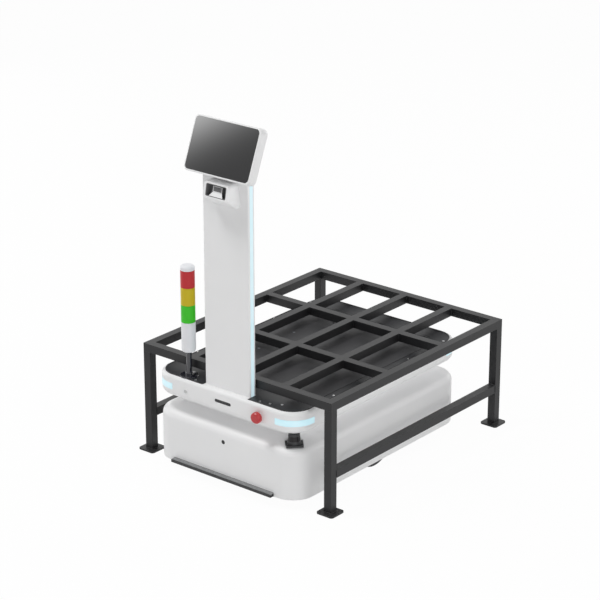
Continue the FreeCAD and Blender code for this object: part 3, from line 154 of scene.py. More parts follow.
# Name, place, width, height and power of each lamp, in metres and watts
LAMPS = (("front_lamp", (0.3, -4.5, 0.4), 3.0, 0.7, 3.0),
         ("right_lamp", (4.5, 0.2, 1.6), 5.0, 3.0, 56.0),
         ("corner_lamp", (3.4, -3.4, 0.8), 2.4, 1.4, 23.0),
         ("left_lamp", (-4.5, 0.2, 1.6), 5.0, 3.0, 46.0),
         ("rear_lamp", (0.6, 4.6, 1.8), 2.6, 2.0, 36.0),
         ("high_lamp", (-1.6, -1.7, 4.6), 1.2, 1.2, 92.0))


def soft_lamp(name, place, width, height, watts):
    """A rectangular area lamp at a place, turned to face the object."""
    data = bpy.data.lights.new(name, "AREA")
    data.shape = "RECTANGLE"
    data.size = width
    data.size_y = height
    data.energy = watts
    lamp = bpy.data.objects.new(name, data)
    bpy.context.scene.collection.objects.link(lamp)
    lamp.location = place
    towards_object = Vector(LAMPS_AIM_AT) - Vector(place)
    lamp.rotation_euler = towards_object.to_track_quat("-Z", "Y").to_euler()


for lamp_row in LAMPS:
    soft_lamp(*lamp_row)
print("lamps:", len(bpy.data.lights))

# %% [markdown]
# ## The floor
# A seamless paper sweep in a studio is white and matt. A curved one could be modelled, but the
# world behind is white too, so one flat face is enough. It takes the soft shadows of the feet and
# the body, and lies a hair under them so that no two faces share a plane.

# %% Floor
FLOOR_SIZE = 14.0
FLOOR_DROP = 0.5 * MM
SQUARE = ((-1, -1), (1, -1), (1, 1), (-1, 1))


def new_object(name, mesh):
    """Puts a mesh in the scene as an object."""
    made = bpy.data.objects.new(name, mesh)
    bpy.context.scene.collection.objects.link(made)
    return made


floor_mesh = bpy.data.meshes.new("floor")
corners = [(x * FLOOR_SIZE / 2, y * FLOOR_SIZE / 2, -FLOOR_DROP) for x, y in SQUARE]
floor_mesh.from_pydata(corners, [], [(0, 1, 2, 3)])
floor = new_object("floor", floor_mesh)
print("floor width in m:", FLOOR_SIZE)

# %% [markdown]
# ## Shader maths as plain expressions
# A procedural finish is a sum: a base value, plus a little noise, times a mask. Node by node
# that takes many lines, so this small class wraps a socket and lets Python's own signs add the
# nodes: `0.4 + 0.1 * grain` makes the two Math nodes and links them.


# %% A socket that does maths
class Value:
    """A number that varies over a surface. Signs of arithmetic add Math nodes."""

    def __init__(self, finish, socket):
        self.finish = finish
        self.socket = socket

    def _maths(self, operation, first, second):
        made = self.finish.node("ShaderNodeMath", {"operation": operation}, {0: first, 1: second})
        return Value(self.finish, made.outputs[0])

    def __add__(self, other):
        return self._maths("ADD", self, other)

    __radd__ = __add__

    def __sub__(self, other):
        return self._maths("SUBTRACT", self, other)

    def __rsub__(self, other):
        return self._maths("SUBTRACT", other, self)

    def __mul__(self, other):
        return self._maths("MULTIPLY", self, other)

    __rmul__ = __mul__

    def __truediv__(self, other):
        return self._maths("DIVIDE", self, other)

    def __pow__(self, other):
        return self._maths("POWER", self, other)

    def __rpow__(self, other):
        return self._maths("POWER", other, self)

    def clamped(self):
        made = self.finish.node("ShaderNodeClamp", {}, {"Value": self})
        return Value(self.finish, made.outputs[0])

    def between(self, low, high):
        """0 below low, 1 above high, and a smooth step from one to the other."""
        made = self.finish.node("ShaderNodeMapRange", {"interpolation_type": "SMOOTHSTEP"},
                                {"Value": self, "From Min": low, "From Max": high})
        return Value(self.finish, made.outputs[0])


# %% [markdown]
# ## One class for a finish
# Every finish below is a Principled shader with some noise behind its colour, roughness and
# bump. The class keeps that short. `rounded_edges` uses Blender's Bevel node: real sheet and
# tube has no knife edge, and a radius of one or two millimetres in the normals gives each edge
# its fine line of light without a single extra face.


# %% A finish
class Finish:
    """A material with its Principled shader, and the helpers that fill it."""

    def __init__(self, name, color, roughness, metallic=0.0, coat=0.0):
        self.material = bpy.data.materials.new(name)
        self.material.use_nodes = True
        self.tree = self.material.node_tree
        self.tree.nodes.clear()
        self.shader = self.tree.nodes.new("ShaderNodeBsdfPrincipled")
        self.result = self.tree.nodes.new("ShaderNodeOutputMaterial")
        self.tree.links.new(self.shader.outputs[0], self.result.inputs["Surface"])
        self.shader.inputs["Base Color"].default_value = (*color, 1.0)
        self.shader.inputs["Roughness"].default_value = roughness
        self.shader.inputs["Metallic"].default_value = metallic
        self.shader.inputs["Coat Weight"].default_value = coat
        self.material.diffuse_color = (*color, 1.0)
        self.smooth_normal = None

    def node(self, kind, settings, values):
        """Adds a node: its settings first, then the values or links of its sockets."""
        made = self.tree.nodes.new(kind)
        for key, setting in settings.items():
            setattr(made, key, setting)
        for key, value in values.items():
            self.put(made.inputs[key], value)
        return made

    def put(self, socket, value):
        if isinstance(value, Value):
            value = value.socket
        if isinstance(value, bpy.types.NodeSocket):
            self.tree.links.new(value, socket)
        elif value is not None:
            socket.default_value = value

    def place(self):
        """Where a point lies in the model, in metres."""
        return self.node("ShaderNodeTexCoord", {}, {}).outputs["Object"]

    def axis(self, letter):
        made = self.node("ShaderNodeSeparateXYZ", {}, {"Vector": self.place()})
        return Value(self, made.outputs[letter])

    def facing(self, letter):
        """How far a surface faces along an axis, from -1 to 1."""
        normal = self.node("ShaderNodeNewGeometry", {}, {}).outputs["Normal"]
        made = self.node("ShaderNodeSeparateXYZ", {}, {"Vector": normal})
        return Value(self, made.outputs[letter])

    def noise(self, size, detail=2.0, stretch=(1.0, 1.0, 1.0)):
        """Soft noise with features about `size` metres across, from 0 to 1."""
        scaled = self.node("ShaderNodeMapping", {}, {"Vector": self.place(), "Scale": stretch})
        made = self.node("ShaderNodeTexNoise", {}, {"Vector": scaled.outputs[0],
                                                    "Scale": 1.0 / size, "Detail": detail})
        return Value(self, made.outputs[0])

    def color(self, dark, light, share):
        """Base colour that runs from dark to light with a share from 0 to 1."""
        made = self.node("ShaderNodeMix", {"data_type": "RGBA"},
                         {0: share, 6: (*dark, 1.0), 7: (*light, 1.0)})
        self.put(self.shader.inputs["Base Color"], made.outputs[2])

    def roughness(self, value):
        self.put(self.shader.inputs["Roughness"], value)

    def rounded_edges(self, radius):
        made = self.node("ShaderNodeBevel", {"samples": 4}, {"Radius": radius})
        self.smooth_normal = made.outputs[0]
        self.put(self.shader.inputs["Normal"], self.smooth_normal)

    def bump(self, height, depth, strength=1.0):
        """Relief `depth` metres deep from a height between 0 and 1."""
        made = self.node("ShaderNodeBump", {}, {"Height": height, "Distance": depth,
                                                "Strength": strength,
                                                "Normal": self.smooth_normal})
        self.smooth_normal = made.outputs[0]
        self.put(self.shader.inputs["Normal"], self.smooth_normal)

    def glow(self, dark, light, share, strength):
        """Emitted light, from dark to light with a share from 0 to 1; on the screen glass it is a
        painted reflection.
        """
        made = self.node("ShaderNodeMix", {"data_type": "RGBA"},
                         {0: share, 6: (*dark, 1.0), 7: (*light, 1.0)})
        self.put(self.shader.inputs["Emission Color"], made.outputs[2])
        self.shader.inputs["Emission Strength"].default_value = strength

    def mixed_with(self, other, share):
        """Puts another shader over this one, by a share from 0 to 1."""
        made = self.node("ShaderNodeMixShader", {},
                         {0: share, 1: self.shader.outputs[0], 2: other})
        self.put(self.result.inputs["Surface"], made.outputs[0])

    def on(self, *names):
        """Puts the finish on pieces of the engineering model."""
        for name in names:
            give(nodes[name], self)
        print(self.material.name, "is on pieces:", len(names))


def give(piece, finish):
    piece.data.materials.clear()
    piece.data.materials.append(finish.material)


# %% [markdown]
# ## Floor paper
# Matt white with nothing on it. A paper sweep is lit on its own in a studio until it is plain
# white in the picture. Here a share of white light is mixed in for the rays that look at it,
# so it reads as white and still keeps a trace of the object's shadow.

# %% Floor finish
FLOOR_WHITE = 0.92
PLAIN_SHARE = 0.97
PLAIN_LEVEL = 1.0

paper = Finish("paper", (FLOOR_WHITE, FLOOR_WHITE, FLOOR_WHITE), 0.9)
looks = paper.node("ShaderNodeLightPath", {}, {})
looked_at = (Value(paper, looks.outputs["Is Camera Ray"])
             + Value(paper, looks.outputs["Is Glossy Ray"])).clamped()
plain = paper.node("ShaderNodeEmission", {}, {"Color": WHITE, "Strength": PLAIN_LEVEL})
paper.mixed_with(plain.outputs[0], PLAIN_SHARE * looked_at)
give(floor, paper)

# %% [markdown]
# ## White shells
# The robot's skin is moulded and painted plastic: satin, close to a neutral white, with the
# faint waviness that painters call orange peel. Three layers are enough: a colour that drifts by
# a few percent, a roughness that drifts with it, and a bump of hundredths of a millimetre.

# %% White shell
shell = Finish("white_shell", (0.88, 0.88, 0.883), 0.38, coat=0.3)
shell.shader.inputs["Coat Roughness"].default_value = 0.4
drift = shell.noise(0.18, detail=3.0)
scuff = shell.noise(0.012, detail=4.0, stretch=(1.0, 1.0, 0.3))
shell.color((0.865, 0.866, 0.872), (0.90, 0.90, 0.902), drift)
shell.roughness(0.42 + 0.08 * drift + 0.05 * scuff)
shell.rounded_edges(1.0 * MM)
shell.bump(shell.noise(0.0022, detail=1.0), 0.02 * MM)
shell.on("lower_shell", "upper_shell", "column_front_shell", "column_back_cover",
         "screen_front_frame", "screen_rear_housing", "camera_pod_shell", "button_collars")

# %% [markdown]
# The power button is the same plastic, coloured a darker grey as a painted shade over it. A mask
# in the shells' finish could darken it too, but a finish of its own is shorter.

# %% Power button
# Painted shade: the button's grey stands in for shade on a white button.
painted_shade_button = Finish("power_button", (0.56, 0.56, 0.565), 0.3, coat=0.4)
painted_shade_button.color((0.52, 0.52, 0.525), (0.60, 0.60, 0.605), painted_shade_button.noise(0.006))
painted_shade_button.roughness(0.26 + 0.10 * painted_shade_button.noise(0.004))
painted_shade_button.rounded_edges(0.6 * MM)
painted_shade_button.on("power_button")

# %% [markdown]
# ## Powder-coated steel
# The rack is welded tube under a dark powder coat. Powder melts into a fine pebbled skin, so
# the bump is small and dense and the gloss is broken. The edges are rounded, as rolled tube is.
# The upper faces are painted a little lighter, a painted highlight for the light from above,
# taken from the way a face points, so no mask is needed.

# %% Powder coat
coat = Finish("powder_coat", (0.014, 0.014, 0.015), 0.5)
pebble = coat.noise(0.0014, detail=2.0)
cloud = coat.noise(0.11, detail=3.0)
# Painted highlight: faces that point up get a lighter colour.
painted_top_light = coat.facing("Z").between(0.5, 0.95)
coat.shader.inputs["Specular IOR Level"].default_value = 0.38
coat.color((0.008, 0.008, 0.009), (0.028, 0.028, 0.029), (0.3 * cloud + 0.6 * painted_top_light).clamped())
coat.roughness(0.38 + 0.08 * cloud + 0.06 * pebble)
coat.rounded_edges(1.8 * MM)
coat.bump(pebble, 0.05 * MM)
coat.on("rack_legs", "rack_side_rails", "rack_top_beams", "rack_grid_beams")

# %% [markdown]
# ## Deck and lift plate
# Flat steel plate in a satin dark coat. It is wide and low, so at a shallow angle it mirrors
# the tubes above it softly. Long faint scratches follow the way loads are pushed on. They are
# noise stretched along one axis, since drawing each scratch would take far longer. The panel
# round the lift plate sees no loads, so it is a little darker and smoother.

# %% Deck plate
deck = Finish("deck_plate", (0.042, 0.043, 0.047), 0.36)
rub = deck.noise(0.02, detail=4.0, stretch=(3.0, 0.25, 1.0))
patch = deck.noise(0.16, detail=2.0)
deck.color((0.030, 0.030, 0.032), (0.048, 0.048, 0.051), (0.6 * patch + 0.3 * rub).clamped())
deck.roughness(0.46 + 0.08 * patch + 0.08 * rub)
deck.rounded_edges(0.8 * MM)
deck.bump(deck.noise(0.0016, detail=2.0), 0.006 * MM)
deck.on("lift_plate")

panel = Finish("deck_panel_coat", (0.026, 0.027, 0.030), 0.4)
panel.shader.inputs["Specular IOR Level"].default_value = 0.4
sheen = panel.noise(0.16, detail=2.0)
panel.color((0.020, 0.021, 0.023), (0.034, 0.035, 0.038), sheen)
panel.roughness(0.38 + 0.08 * sheen)
panel.rounded_edges(0.8 * MM)
panel.on("deck_panel")

# %% [markdown]
# ## Black plastic
# Scanner bodies, sensor windows and the charge port are black moulded parts with a fine
# spark-eroded grain. One noise drives both bump and gloss, because on real grain the two go
# together. The camera's recess is lined with a dark grey plastic of the same kind.

# %% Black plastic
black = Finish("black_plastic", (0.016, 0.016, 0.018), 0.42)
grain = black.noise(0.0009, detail=2.0)
black.roughness(0.38 + 0.12 * grain)
black.rounded_edges(0.6 * MM)
black.bump(grain, 0.03 * MM)
black.on("scanner_housings", "front_sensors", "charge_port", "scanner_rotor_front",
         "scanner_rotor_rear")

recess = Finish("recess_lining", (0.165, 0.165, 0.168), 0.6)
recess.color((0.15, 0.15, 0.153), (0.18, 0.18, 0.183), recess.noise(0.004))
recess.bump(recess.noise(0.0009), 0.03 * MM)
recess.on("camera_pod_bezel", "pod_camera")

# %% [markdown]
# ## Glass and dark windows
# The display sits dark behind a sheet of glass, which carries a painted reflection: a grey glow
# that fades from its upper left corner. A picture could be mapped onto it, but a formula needs no
# file: the fade is a power of how far across and down a point lies, which falls off more softly
# than a straight ramp. A trace of haze and finger grease in the roughness keeps the glass from
# being a perfect mirror.

# %% Screen glass
FADE = 0.097
FADE_CURVE = 1.6
PAINTED_REFLECTION_LEVEL = 0.36

glass_low, glass_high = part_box("screen_glass")
glass = Finish("screen_glass", (0.008, 0.008, 0.009), 0.08)
grease = glass.noise(0.05, detail=4.0)
glass.roughness(0.10 + 0.12 * grease.between(0.45, 0.8))
across_glass = (glass.axis("X") - glass_low.x) / (glass_high.x - glass_low.x)
down_glass = (glass_high.z - glass.axis("Z")) / (glass_high.z - glass_low.z)
# Painted reflection: the glass glows grey, brightest at its upper left corner.
painted_reflection = FADE ** ((across_glass + down_glass) ** FADE_CURVE)
glass.glow((0.0, 0.0, 0.0), (1.0, 1.0, 1.0), painted_reflection, PAINTED_REFLECTION_LEVEL)
glass.on("screen_glass")

smoke = Finish("smoked_window", (0.010, 0.008, 0.009), 0.25)
smoke.shader.inputs["Specular IOR Level"].default_value = 0.3
smoke.roughness(0.22 + 0.06 * smoke.noise(0.01))
smoke.on("scanner_windows")

dull = Finish("display_back", (0.04, 0.04, 0.045), 0.6)
dull.bump(dull.noise(0.002), 0.05 * MM)
dull.on("display_module")

# %% [markdown]
# ## Light bands
# The cyan bands on the column's edges and the body's corners are frosted diffusers with a row
# of small lamps behind. The frosting leaves the lamps just readable as a slow ripple along the
# band. Lamp objects could stand behind each band, but emission keeps the glow exactly where the
# band is. It is real light, so what stands beside a band picks up a trace of it.

# %% Light bands
strip = Finish("column_strip", (0.40, 0.44, 0.45), 0.45)
strip_lamps = strip.noise(0.05, detail=0.0)
strip.glow((0.42, 0.72, 0.80), (0.62, 0.78, 0.86), strip_lamps, 0.68)
strip.on("column_light_strips")

corner = Finish("corner_band", (0.38, 0.44, 0.46), 0.45)
corner_lamps = corner.noise(0.03, detail=0.0)
corner.glow((0.32, 0.67, 0.77), (0.54, 0.77, 0.85), corner_lamps, 0.72)
corner.on("corner_lights")

# %% [markdown]
# ## Signal tower
# Each lens is a clear-coloured moulding with fine upright ribs inside that spread the lamp's
# light. Modelled ribs would take thousands of faces. Here they are a wave round the tower's axis,
# worked out from the angle, that only bends the normal a little. The stack is off, so the
# colours come from the plastic alone.


# %% Tower lenses
tower_low, tower_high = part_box("tower_body")
tower_axis = (tower_low + tower_high) / 2
RIBS = 60
RIB_DEPTH = 0.15 * MM


def lens_finish(name, dark, light, node_name):
    """Ribbed clear plastic, from a dark colour to a light one, on one lens."""
    lens = Finish(name, dark, 0.35, coat=0.1)
    lens.shader.inputs["Specular IOR Level"].default_value = 0.25
    round_x = lens.axis("X") - tower_axis.x
    round_y = lens.axis("Y") - tower_axis.y
    angle = Value(lens, lens.node("ShaderNodeMath", {"operation": "ARCTAN2"},
                                  {0: round_y, 1: round_x}).outputs[0])
    wave = Value(lens, lens.node("ShaderNodeMath", {"operation": "SINE"},
                                 {0: angle * RIBS}).outputs[0])
    ribs = 0.5 + 0.5 * wave
    lens.color(dark, light, (0.25 + 0.5 * ribs).clamped())
    lens.bump(ribs, RIB_DEPTH, strength=0.5)
    lens.on(node_name)


lens_finish("lens_green", (0.035, 0.50, 0.015), (0.065, 0.66, 0.025),
            "tower_green_lens")
lens_finish("lens_amber", (0.56, 0.42, 0.005), (0.72, 0.55, 0.015),
            "tower_amber_lens")
lens_finish("lens_red", (0.48, 0.022, 0.028), (0.64, 0.034, 0.042),
            "tower_red_lens")

# %% [markdown]
# ## Tower body and cap
# Pale grey nylon with a fine matt grain, a little bluer than the robot's shells. The grain is a
# noise of about a millimetre in the bump, which is too fine to be worth any faces.

# %% Tower body
nylon = Finish("tower_nylon", (0.84, 0.845, 0.87), 0.45)
nylon.roughness(0.42 + 0.10 * nylon.noise(0.003))
nylon.rounded_edges(0.8 * MM)
nylon.bump(nylon.noise(0.0012), 0.03 * MM)
nylon.on("tower_body", "tower_cap")

# %% [markdown]
# The stand under it is steel in gloss black paint, which mirrors its surroundings as a row of
# upright lines. A clear coat over a dark base gives that mirror, as layers of paint do.

# %% Tower stand
stand = Finish("stand_paint", (0.012, 0.012, 0.020), 0.14, coat=1.0)
stand.shader.inputs["Coat Roughness"].default_value = 0.05
stand.roughness(0.10 + 0.10 * stand.noise(0.01, detail=3.0))
stand.rounded_edges(0.6 * MM)
stand.on("tower_stand")

# %% [markdown]
# ## Red stop button
# A stop button's head is satin red plastic. It gets the same treatment as the shells, without
# their grain: two close reds and an uneven gloss keep it from looking like a printed dot.

# %% Stop button
stop_red = Finish("stop_red", (0.50, 0.022, 0.026), 0.34, coat=0.1)
stop_red.color((0.46, 0.018, 0.022), (0.54, 0.026, 0.030), stop_red.noise(0.015))
stop_red.roughness(0.26 + 0.08 * stop_red.noise(0.006))
stop_red.on("estop_button")

# %% [markdown]
# ## Bare metals
# Aluminium extrusion shows fine lines along its length. Cast or plated parts show none. One
# function makes them all: the stretch of the noise sets the way the lines run.


# %% Metals
LINES_ALONG_X = (0.05, 3.0, 3.0)
NO_LINES = (1.0, 1.0, 1.0)


def metal(name, dark, light, rough, stretch, *names):
    """Bare metal from a dark colour to a light one, its noise stretched into lines."""
    made = Finish(name, dark, rough, metallic=1.0)
    lines = made.noise(0.004, detail=3.0, stretch=stretch)
    stain = made.noise(0.05, detail=2.0)
    made.color(dark, light, (0.5 * lines + 0.5 * stain).clamped())
    made.roughness(rough - 0.06 + 0.12 * lines + 0.08 * stain)
    made.rounded_edges(0.5 * MM)
    made.bump(lines, 0.01 * MM)
    made.on(*names)
    return made


metal("extrusion", (0.22, 0.223, 0.226), (0.32, 0.324, 0.328), 0.5, LINES_ALONG_X,
      "bumper_rail")
metal("machined_aluminium", (0.55, 0.56, 0.58), (0.68, 0.69, 0.70), 0.36, NO_LINES,
      "drive_hub_left", "drive_hub_right", "control_boxes")
metal("plated_steel", (0.52, 0.52, 0.54), (0.66, 0.66, 0.67), 0.34, NO_LINES,
      "caster_plates", "lift_guides", "lift_screw",
      "caster_fork_1", "caster_fork_2", "caster_fork_3", "caster_fork_4")
bright = metal("bright_plating", (0.84, 0.84, 0.85), (0.92, 0.92, 0.93), 0.24, NO_LINES,
               "deck_screws")
metal("nut_bronze", (0.42, 0.27, 0.10), (0.58, 0.40, 0.17), 0.35, NO_LINES, "lift_nut")

# %% [markdown]
# ## Painted frame
# The inner frame is laser-cut and folded steel in grey paint: matt, with small runs and dust.
# It shows only from below and through the gaps, so plain noise is enough for both.

# %% Frame paint
paint = Finish("frame_paint", (0.20, 0.21, 0.23), 0.5)
dust = paint.noise(0.05, detail=4.0)
paint.color((0.17, 0.18, 0.20), (0.25, 0.26, 0.28), dust)
paint.roughness(0.45 + 0.15 * dust)
paint.rounded_edges(1.0 * MM)
paint.bump(paint.noise(0.003), 0.03 * MM)
paint.on("chassis_frame", "column_frame", "drive_gearmotors", "lift_motor", "lift_carriage")

# %% [markdown]
# ## Rubber and tyres
# The bumper's rubber is plain and matt. The tyres are hard black rubber with patches of grey
# dust. The dust is a soft step taken from noise, which leaves clean patches between the dusty
# ones. The battery's case has the same grain in a dark blue.

# %% Rubber and tyres
rubber = Finish("bumper_rubber", (0.020, 0.020, 0.021), 0.6)
rubber.color((0.016, 0.016, 0.017), (0.032, 0.032, 0.033), rubber.noise(0.02, detail=4.0))
rubber.roughness(0.52 + 0.15 * rubber.noise(0.004))
rubber.rounded_edges(0.8 * MM)
rubber.bump(rubber.noise(0.0012), 0.04 * MM)
rubber.on("bumper_rubber")

tyre = Finish("tyre_rubber", (0.028, 0.028, 0.029), 0.7)
road = tyre.noise(0.01, detail=5.0)
tyre.color((0.022, 0.022, 0.023), (0.060, 0.058, 0.055), road.between(0.4, 0.75))
tyre.roughness(0.62 + 0.2 * road)
tyre.bump(tyre.noise(0.002, detail=3.0), 0.08 * MM)
tyre.on("drive_tyre_left", "drive_tyre_right",
        "caster_wheel_1", "caster_wheel_2", "caster_wheel_3", "caster_wheel_4")

case = Finish("battery_case", (0.05, 0.06, 0.09), 0.55)
case.roughness(0.5 + 0.12 * case.noise(0.004))
case.rounded_edges(0.8 * MM)
case.bump(case.noise(0.0012), 0.05 * MM)
case.on("battery_pack")

# %% [markdown]
# ## Weld beads
# Where two tubes meet, a welder runs a bead into the corner. A bead is a row of small
# overlapping ripples, so each one is a half-buried rod whose radius swells and shrinks: one
# function lays it between two points, and loops visit the corners of the rack. A bump could
# draw the ripples, but not the bead's own outline against the tube.

# %% Weld bead helper
BEAD_RADIUS = 2.2 * MM
RIPPLE = 2.6 * MM
DIP = 0.8
END_TAPER = 0.35
UNEVEN = 0.06
ROUND_POINTS = 8
random.seed(11)


def add_ring(mesh, centre, side, other, radius):
    """Adds the points of a circle that lies in the plane of two directions."""
    ring = []
    for step in range(ROUND_POINTS):
        angle = math.tau * step / ROUND_POINTS
        point = centre + (side * math.cos(angle) + other * math.sin(angle)) * radius
        ring.append(mesh.verts.new(point))
    return ring


def join_rings(mesh, rings):
    """Joins each ring to the next with faces and caps both ends."""
    count = len(rings[0])
    for first, second in zip(rings, rings[1:]):
        for step in range(count):
            after = (step + 1) % count
            mesh.faces.new((first[step], first[after], second[after], second[step]))
    mesh.faces.new(tuple(reversed(rings[0])))
    mesh.faces.new(tuple(rings[-1]))


def add_bead(mesh, start, end):
    """Adds a weld bead between two points."""
    along = end - start
    count = max(3, int(along.length / RIPPLE) * 2)
    side = along.orthogonal().normalized()
    other = along.cross(side).normalized()
    rings = []
    for step in range(count + 1):
        swell = 1.0 if step % 2 else DIP
        taper = END_TAPER if step in (0, count) else 1.0
        radius = BEAD_RADIUS * swell * taper * random.uniform(1 - UNEVEN, 1 + UNEVEN)
        rings.append(add_ring(mesh, start + along * (step / count), side, other, radius))
    join_rings(mesh, rings)


def finished_mesh(name, mesh, smooth=True):
    """Turns a bmesh into an object with outward faces."""
    bmesh.ops.recalc_face_normals(mesh, faces=mesh.faces)
    data = bpy.data.meshes.new(name)
    mesh.to_mesh(data)
    mesh.free()
    for face in data.polygons:
        face.use_smooth = smooth
    return new_object(name, data)


# %% [markdown]
# The tubes of the grid stand at equal steps between the outer ones, so the corners follow from
# the rack's box and the number of cells each way. Each corner of a cell gets an upright bead.

# %% Weld beads in the grid
CELLS_ALONG = 3
CELLS_ACROSS = 4
BEAD_MARGIN = 2 * MM


def tube_middles(low, high, cells):
    """Middles of equally spaced tubes from the first to the last."""
    first = low + tube / 2
    pitch = (high - low - tube) / cells
    return [first + pitch * step for step in range(cells + 1)]


across = tube_middles(rack_low.x, rack_high.x, CELLS_ACROSS)
along = tube_middles(rack_low.y, rack_high.y, CELLS_ALONG)
welds = bmesh.new()
bead_low = rack_low.z + BEAD_MARGIN
bead_high = rack_high.z - BEAD_MARGIN
for i, x in enumerate(across):
    for j, y in enumerate(along):
        for sx in (-1, 1):
            for sy in (-1, 1):
                inside_x = (i > 0 or sx > 0) and (i < CELLS_ACROSS or sx < 0)
                inside_y = (j > 0 or sy > 0) and (j < CELLS_ALONG or sy < 0)
                if inside_x and inside_y:
                    spot_x = x + sx * tube / 2
                    spot_y = y + sy * tube / 2
                    add_bead(welds, Vector((spot_x, spot_y, bead_low)),
                             Vector((spot_x, spot_y, bead_high)))
print("weld bead faces in the grid:", len(welds.faces))

# %% [markdown]
# A leg is welded to its foot plate all round, and the side rail is welded to the leg on the face
# that they share. All the beads are one piece, because they are one with the rack.

# %% Weld beads on the legs
FOOT_TOP = 6 * MM
half = tube / 2
for x in (across[0], across[-1]):
    for y in (along[0], along[-1]):
        foot = [Vector((x + sx * half, y + sy * half, FOOT_TOP)) for sx, sy in SQUARE]
        for k in range(4):
            add_bead(welds, foot[k], foot[(k + 1) % 4])
        inward = -math.copysign(1.0, y - rack_centre.y)
        face_y = y + inward * half
        for edge_x in (-half, half):
            add_bead(welds, Vector((x + edge_x, face_y, rail_low.z + BEAD_MARGIN)),
                     Vector((x + edge_x, face_y, rail_high.z - BEAD_MARGIN)))
        for level in (rail_low.z, rail_high.z):
            add_bead(welds, Vector((x - half + BEAD_MARGIN, face_y, level)),
                     Vector((x + half - BEAD_MARGIN, face_y, level)))
weld_beads = finished_mesh("rack_weld_beads", welds)
give(weld_beads, coat)
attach(weld_beads, "rack")
print("weld bead faces:", len(weld_beads.data.polygons))

# %% [markdown]
# ## Deck seal
# A round rubber seal closes the seam between the deck panel and the shell. It follows the
# panel's outline and stops at both sides of the column. A bevelled curve could make it too, but
# the ring helper of the weld beads is there already and gives one plain mesh.

# %% Deck seal
SEAL_RADIUS = 2.6 * MM
SEAL_SINK = 0.6 * MM
SEAL_GAP = 2 * MM
SEAM_CORNER = 72 * MM
QUARTER_STEPS = 12
UP = Vector((0.0, 0.0, 1.0))


def corner_arc(middle, start):
    """Points of a quarter turn round a corner's middle, from a start angle in degrees."""
    turns = [math.radians(start + 90 * step / QUARTER_STEPS) for step in range(QUARTER_STEPS + 1)]
    return [middle + SEAM_CORNER * Vector((math.cos(turn), math.sin(turn), 0.0)) for turn in turns]


column_low, column_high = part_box("column_front_shell")
seam_z = deck_high.z - SEAL_SINK
left = deck_low.x + SEAM_CORNER
right = deck_high.x - SEAM_CORNER
near = deck_low.y + SEAM_CORNER
far = deck_high.y - SEAM_CORNER
seam = [Vector((column_high.x + SEAL_GAP, deck_low.y, seam_z))]
seam += corner_arc(Vector((right, near, seam_z)), -90)
seam += corner_arc(Vector((right, far, seam_z)), 0)
seam += corner_arc(Vector((left, far, seam_z)), 90)
seam += corner_arc(Vector((left, near, seam_z)), 180)
seam.append(Vector((column_low.x - SEAL_GAP, deck_low.y, seam_z)))

seal_mesh = bmesh.new()
loops = []
for index, point in enumerate(seam):
    before = seam[max(index - 1, 0)]
    after = seam[min(index + 1, len(seam) - 1)]
    outward = (after - before).normalized().cross(UP)
    loops.append(add_ring(seal_mesh, point, outward, UP, SEAL_RADIUS))
join_rings(seal_mesh, loops)
deck_seal = finished_mesh("deck_seal", seal_mesh)
give(deck_seal, rubber)
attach(deck_seal, "robot")
print("points along the deck seal:", len(seam))

# %% [markdown]
# ## Screws
# The back cover of the column is held by small socket screws. A head is a round shape, so it is
# built ring by ring from its profile: up the side, in over the slanted rim, and down into the
# socket, where the last two rings have six sides.

# %% Screw head helper
HEAD_RADIUS = 3.6 * MM
HEAD_HEIGHT = 1.4 * MM
SOCKET_RADIUS = 1.7 * MM
HEAD_POINTS = 18
HALF_FLAT = math.pi / 6

# Radius and level of each ring, from the buried foot to the floor of the socket
HEAD_PROFILE = ((HEAD_RADIUS, -0.3), (HEAD_RADIUS, 0.6), (0.8 * HEAD_RADIUS, 1.0),
                (SOCKET_RADIUS, 1.0), (SOCKET_RADIUS, 0.2))


def add_head(mesh, place, outward):
    """Adds a low round screw head with a sunk six-sided socket."""
    side = outward.orthogonal().normalized()
    other = outward.cross(side).normalized()
    rings = []
    for radius, level in HEAD_PROFILE:
        ring = []
        for step in range(HEAD_POINTS):
            angle = math.tau * step / HEAD_POINTS
            reach = radius
            if radius == SOCKET_RADIUS:
                from_middle = angle % (2 * HALF_FLAT) - HALF_FLAT
                reach = radius * math.cos(HALF_FLAT) / math.cos(from_middle)
            spot = side * math.cos(angle) + other * math.sin(angle)
            ring.append(mesh.verts.new(place + spot * reach + outward * level * HEAD_HEIGHT))
        rings.append(ring)
    join_rings(mesh, rings)


# %% [markdown]
# A box tells how far back the cover reaches, but not where it has a surface. A ray from behind
# finds the surface and the way that it faces, and the head is set down there. Where the ray
# meets nothing, no screw is set.

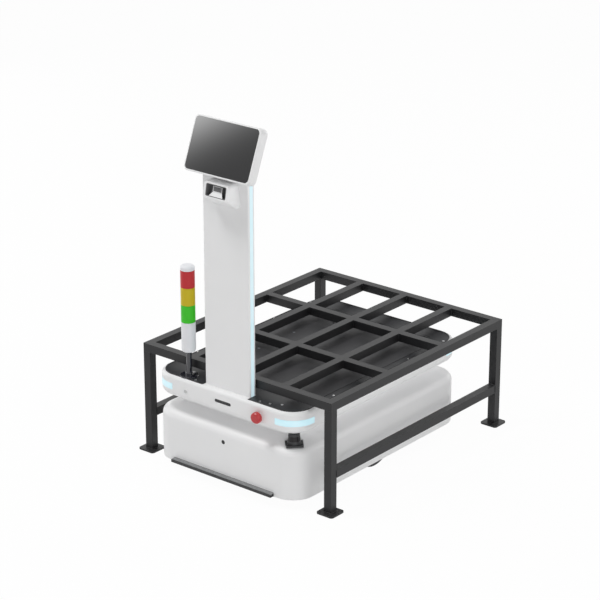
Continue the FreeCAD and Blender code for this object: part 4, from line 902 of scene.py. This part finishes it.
# %% Screws of the back cover
SCREW_HEIGHTS = (0.08, 0.32, 0.56, 0.80)
SCREW_INSET = 16 * MM
RAY_START = 50 * MM


def screw_back(mesh, name, x, z):
    """Sets a screw head on the rear face of a piece."""
    start = Vector((x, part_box(name)[1].y + RAY_START, z))
    hit, place, outward, _ = nodes[name].ray_cast(start, Vector((0.0, -1.0, 0.0)))
    if hit:
        add_head(mesh, place, outward)


cover_low, cover_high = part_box("column_back_cover")
cover_screws = bmesh.new()
for share in SCREW_HEIGHTS:
    height = cover_low.z + (cover_high.z - cover_low.z) * share
    for x in (cover_low.x + SCREW_INSET, cover_high.x - SCREW_INSET):
        screw_back(cover_screws, "column_back_cover", x, height)
back_screws = finished_mesh("column_cover_screws", cover_screws, smooth=False)
give(back_screws, bright)
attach(back_screws, "robot")
print("faces of the cover's screws:", len(back_screws.data.polygons))

# %% [markdown]
# The deck's own screws are in the engineering model with plain flat heads. Each gets a dark
# six-sided disc on the middle of the head, a painted shade where a sunk socket would be, and its
# place is found from the node's vertices.

# %% Sockets of the deck screws
SCREW_REACH = 12 * MM
SHADE_DISC_HEIGHT = 0.1 * MM


def plan_middles(name, reach):
    """Middles, seen from above, of the small separate pieces of one node."""
    groups = []
    for vertex in nodes[name].data.vertices:
        for group in groups:
            if (group[0] - vertex.co).xy.length < reach:
                group.append(vertex.co.copy())
                break
        else:
            groups.append([vertex.co.copy()])
    found = []
    for group in groups:
        xs = [point.x for point in group]
        ys = [point.y for point in group]
        found.append(((min(xs) + max(xs)) / 2, (min(ys) + max(ys)) / 2))
    return found


screw_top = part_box("deck_screws")[1].z
# Painted shade: a flat black disc stands for the dark of a sunk socket.
socket_shade = bmesh.new()
for x, y in plan_middles("deck_screws", SCREW_REACH):
    place = Matrix.Translation((x, y, screw_top))
    bmesh.ops.create_cone(socket_shade, cap_ends=True, segments=6, radius1=SOCKET_RADIUS,
                          radius2=SOCKET_RADIUS, depth=2 * SHADE_DISC_HEIGHT, matrix=place)
socket_shade_discs = finished_mesh("deck_screw_socket_shade", socket_shade, smooth=False)
give(socket_shade_discs, black)
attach(socket_shade_discs, "robot")
print("socket mark faces:", len(socket_shade_discs.data.polygons))
